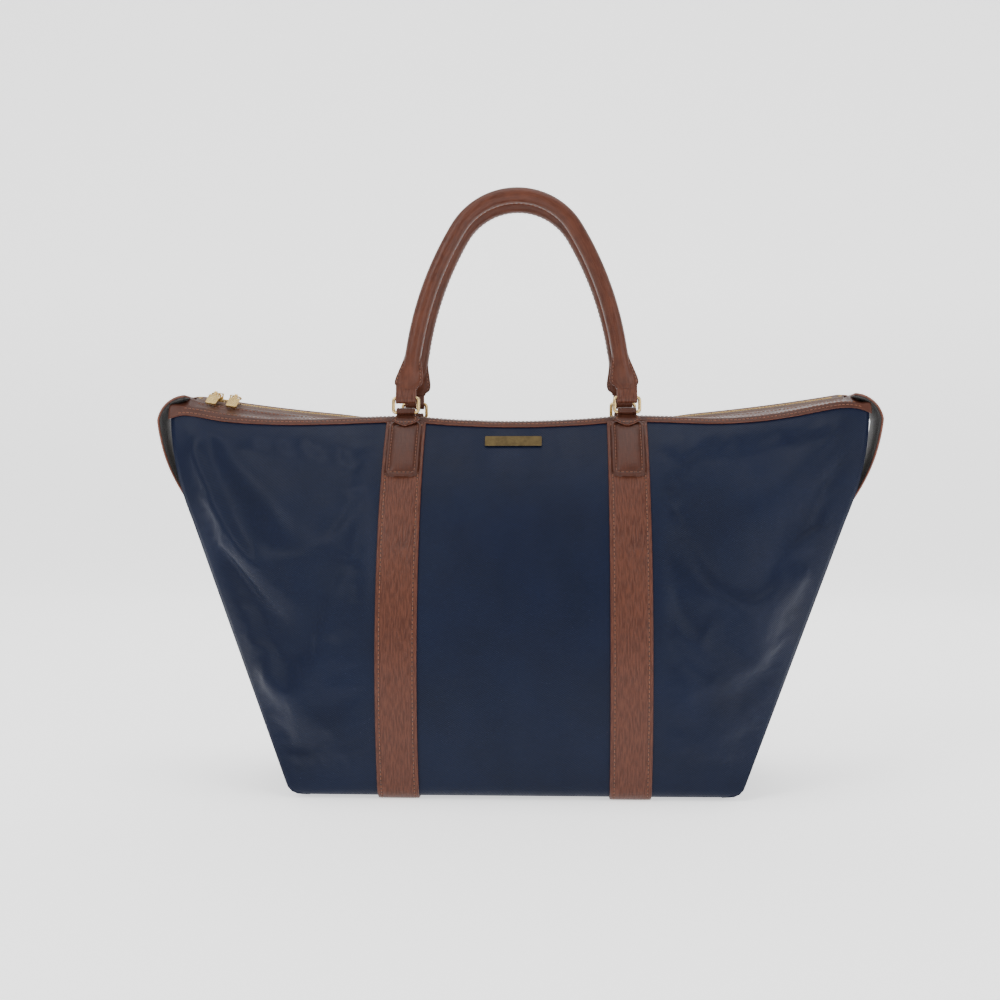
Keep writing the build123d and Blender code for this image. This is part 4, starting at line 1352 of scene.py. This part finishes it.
def end_strap(side, which):
    """Leather end strap with its cloth lining and its stitching."""
    track = [Vector((side * x, 0, z)) for x, z in end_track()]
    path = resample(track, 0.0026)
    across = Vector((0, side, 0))
    frames = frames_along(path, across)
    inner = [p - n * END_THICK for p, _, n in frames]
    body = which + "_end_strap"
    ribbon(
        which + "_leather_end_strap", inner, across, end_half, END_THICK, [STRAP_LEATHER, EDGE_PAINT],
        body=body, replaces=[which + "_end_strap"],
    )
    back = [p - n * (END_THICK + END_LINING_THICK) for p, _, n in frames]
    ribbon(
        which + "_end_strap_cloth", back, across,
        lambda s, total: end_half(s, total) - 0.0012, END_LINING_THICK,
        [STRAP_LINING_CLOTH, STRAP_LINING_CLOTH], groove_in=0.0, body=body, slot="strap_lining_cloth",
        replaces=[which + "_end_strap_lining"],
    )
    lengths = measured(path)
    total = lengths[-1]
    row_left, row_right = [], []
    for (p, _, n), s in zip(frames, lengths):
        w = end_half(s, total) - 0.0034
        if s < 0.003 or total - s < 0.0035:
            continue
        row_left.append((p + across * -w - n * 0.00005, n))
        row_right.append((p + across * w - n * 0.00005, n))
    top = [(row_left[0][0].lerp(row_right[0][0], k / 12), row_left[0][1]) for k in range(13)]
    stitches(which + "_end_strap_stitches", [row_left + row_right[::-1], top], body)


TAB_HALF = 0.010
TAB_INSET = 0.0048
TAB_THICK = 0.0015
TAB_STITCH_IN = 0.0028
SIDE_RING_X = 0.299889
SIDE_RING_Z = 0.279


def side_tab(side, which):
    """Leather tab down the gusset, and the loop on it that holds the side ring."""
    across = Vector((0, side, 0))
    path = [Vector((side * (seam_x(z) - TAB_INSET), 0, z)) for z in spaced(0.322, 0.230, 0.003)]

    def tab_half(s, total):
        left = min(s, total - s)
        round_end = math.sqrt(max(0.0, 1 - (1 - min(1.0, left / 0.005)) ** 2))
        return TAB_HALF * (0.5 + 0.5 * round_end)

    ribbon(
        which + "_leather_side_tab", path, across, tab_half, TAB_THICK, [STRAP_LEATHER, EDGE_PAINT],
        groove_in=TAB_STITCH_IN, replaces=[which + "_side_tab"],
    )
    upper, lower = (
        [(seam_x(z) - TAB_INSET + TAB_THICK + 0.0001, z) for z in zs]
        for zs in ((0.292, 0.289, 0.2865), (0.2715, 0.269, 0.266, 0.262))
    )
    inner = 0.0019
    turn = [(SIDE_RING_X + inner * math.cos(math.radians(a)), SIDE_RING_Z + inner * math.sin(math.radians(a)))
            for a in range(70, -71, -14)]
    loop = [Vector((side * x, 0, z)) for x, z in upper + turn + lower]
    ribbon(
        which + "_side_ring_loop", resample(loop, 0.0009), across, lambda s, total: 0.0082, 0.0014,
        [STRAP_LEATHER, EDGE_PAINT], groove_in=0.0022,
    )
    rows = []
    frames = frames_along(path, across)
    for edge in (-1, 1):
        shift = across * edge * (TAB_HALF - TAB_STITCH_IN)
        rows.append([(p + shift + n * (TAB_THICK - 0.00005), n) for p, _, n in frames[1:-2]])
    stitches(which + "_side_tab_stitches", rows)


for side, which in ((-1, "left"), (1, "right")):
    end_strap(side, which)
    side_tab(side, which)


# ---- finishes on the CAD parts that stay ----
def dress(node, material, bevel=0.0):
    """Gives a CAD node its finish, and softens its edges."""
    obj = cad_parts[node]
    obj.data.materials.clear()
    obj.data.materials.append(material)
    if bevel:
        rounded = obj.modifiers.new("Soft_edges", "BEVEL")
        rounded.width = bevel
        rounded.segments = 2
        rounded.limit_method = "ANGLE"
        rounded.angle_limit = math.radians(35)


for which in ("front", "rear"):
    dress(which + "_handle_core", ROPE)
    for where in ("left", "right"):
        dress(which + "_ring_" + where, PALE_BRASS)
for where in ("left", "right"):
    dress(where + "_side_ring", PALE_BRASS)
    dress(where + "_stud_cap", ANTIQUE_BRASS, 0.0004)
    dress(where + "_stud_socket", ANTIQUE_BRASS, 0.0003)
    dress("slider_" + where, ZIP_BRASS, 0.0005)
    dress("pull_link_" + where, ZIP_BRASS)
    dress("pull_tab_" + where, ZIP_BRASS, 0.0003)
dress("zip_end_stops", ZIP_BRASS, 0.0004)
dress("plate_backing", STEEL, 0.0002)
dress("brass_plate", ANTIQUE_BRASS, 0.0003)

# ---- floor, light and camera ----
# A sheet that runs back, bends up and becomes the backdrop.
rim = 6.0
bend_y, bend = 2.2, 0.9
cove = [(-rim, 0.0), (bend_y, 0.0)]
for angle in (k * math.pi / 20 for k in range(1, 11)):
    cove.append((bend_y + bend * math.sin(angle), bend - bend * math.cos(angle)))
cove += [(bend_y + bend, 4.5)]
floor_mesh = bpy.data.meshes.new("floor")
floor_mesh.from_pydata(
    [(x, y, z) for y, z in cove for x in (-rim, rim)], [],
    [(2 * k, 2 * k + 1, 2 * k + 3, 2 * k + 2) for k in range(len(cove) - 1)],
)
floor_mesh.polygons.foreach_set("use_smooth", [True] * len(floor_mesh.polygons))
floor = bpy.data.objects.new("floor", floor_mesh)
bpy.context.scene.collection.objects.link(floor)
plain = Recipe("PaleFloor", Roughness=0.9, Emission_Color=(1, 1, 1, 1), Emission_Strength=1.0)
speck = plain.noise(plain.coordinates("Object"), 3.0, 2.0)
paint = plain.mix(speck, (0.90, 0.90, 0.90, 1), (0.93, 0.93, 0.93, 1))
floor_mesh.materials.append(plain.finish(Base_Color=paint))


def soft_light(name, place, aim, size, power):
    """Rectangular studio softbox."""
    data = bpy.data.lights.new(name, "AREA")
    data.shape = "RECTANGLE"
    data.size, data.size_y = size
    data.energy = power
    lamp = bpy.data.objects.new(name, data)
    lamp.location = place
    lamp.rotation_euler = (Vector(aim) - Vector(place)).to_track_quat("-Z", "Y").to_euler()
    bpy.context.scene.collection.objects.link(lamp)


soft_light("key", (-1.3, -1.6, 1.7), (0, 0, 0.2), (1.0, 1.0), 26)
soft_light("fill", (1.6, -1.5, 0.9), (0, 0, 0.2), (1.2, 1.2), 17)
soft_light("top", (0.0, -0.2, 2.2), (0, 0, 0.2), (2.0, 1.2), 22)
soft_light("back", (0.2, 1.9, 1.4), (0, 0, 0.3), (1.6, 1.0), 10)

world = bpy.data.worlds.new("Studio")
world.use_nodes = True
world.node_tree.nodes["Background"].inputs["Color"].default_value = (1.0, 1.0, 1.0, 1)
world.node_tree.nodes["Background"].inputs["Strength"].default_value = 0.75
bpy.context.scene.world = world

camera_data = bpy.data.cameras.new("Camera")
camera_data.lens = 50.0
camera_data.sensor_width = 36.0
camera = bpy.data.objects.new("Camera", camera_data)
camera.location = (0.035, -1.25, 0.2500)
camera.rotation_euler = (math.radians(90), 0, math.radians(2.32))
bpy.context.scene.collection.objects.link(camera)
bpy.context.scene.camera = camera
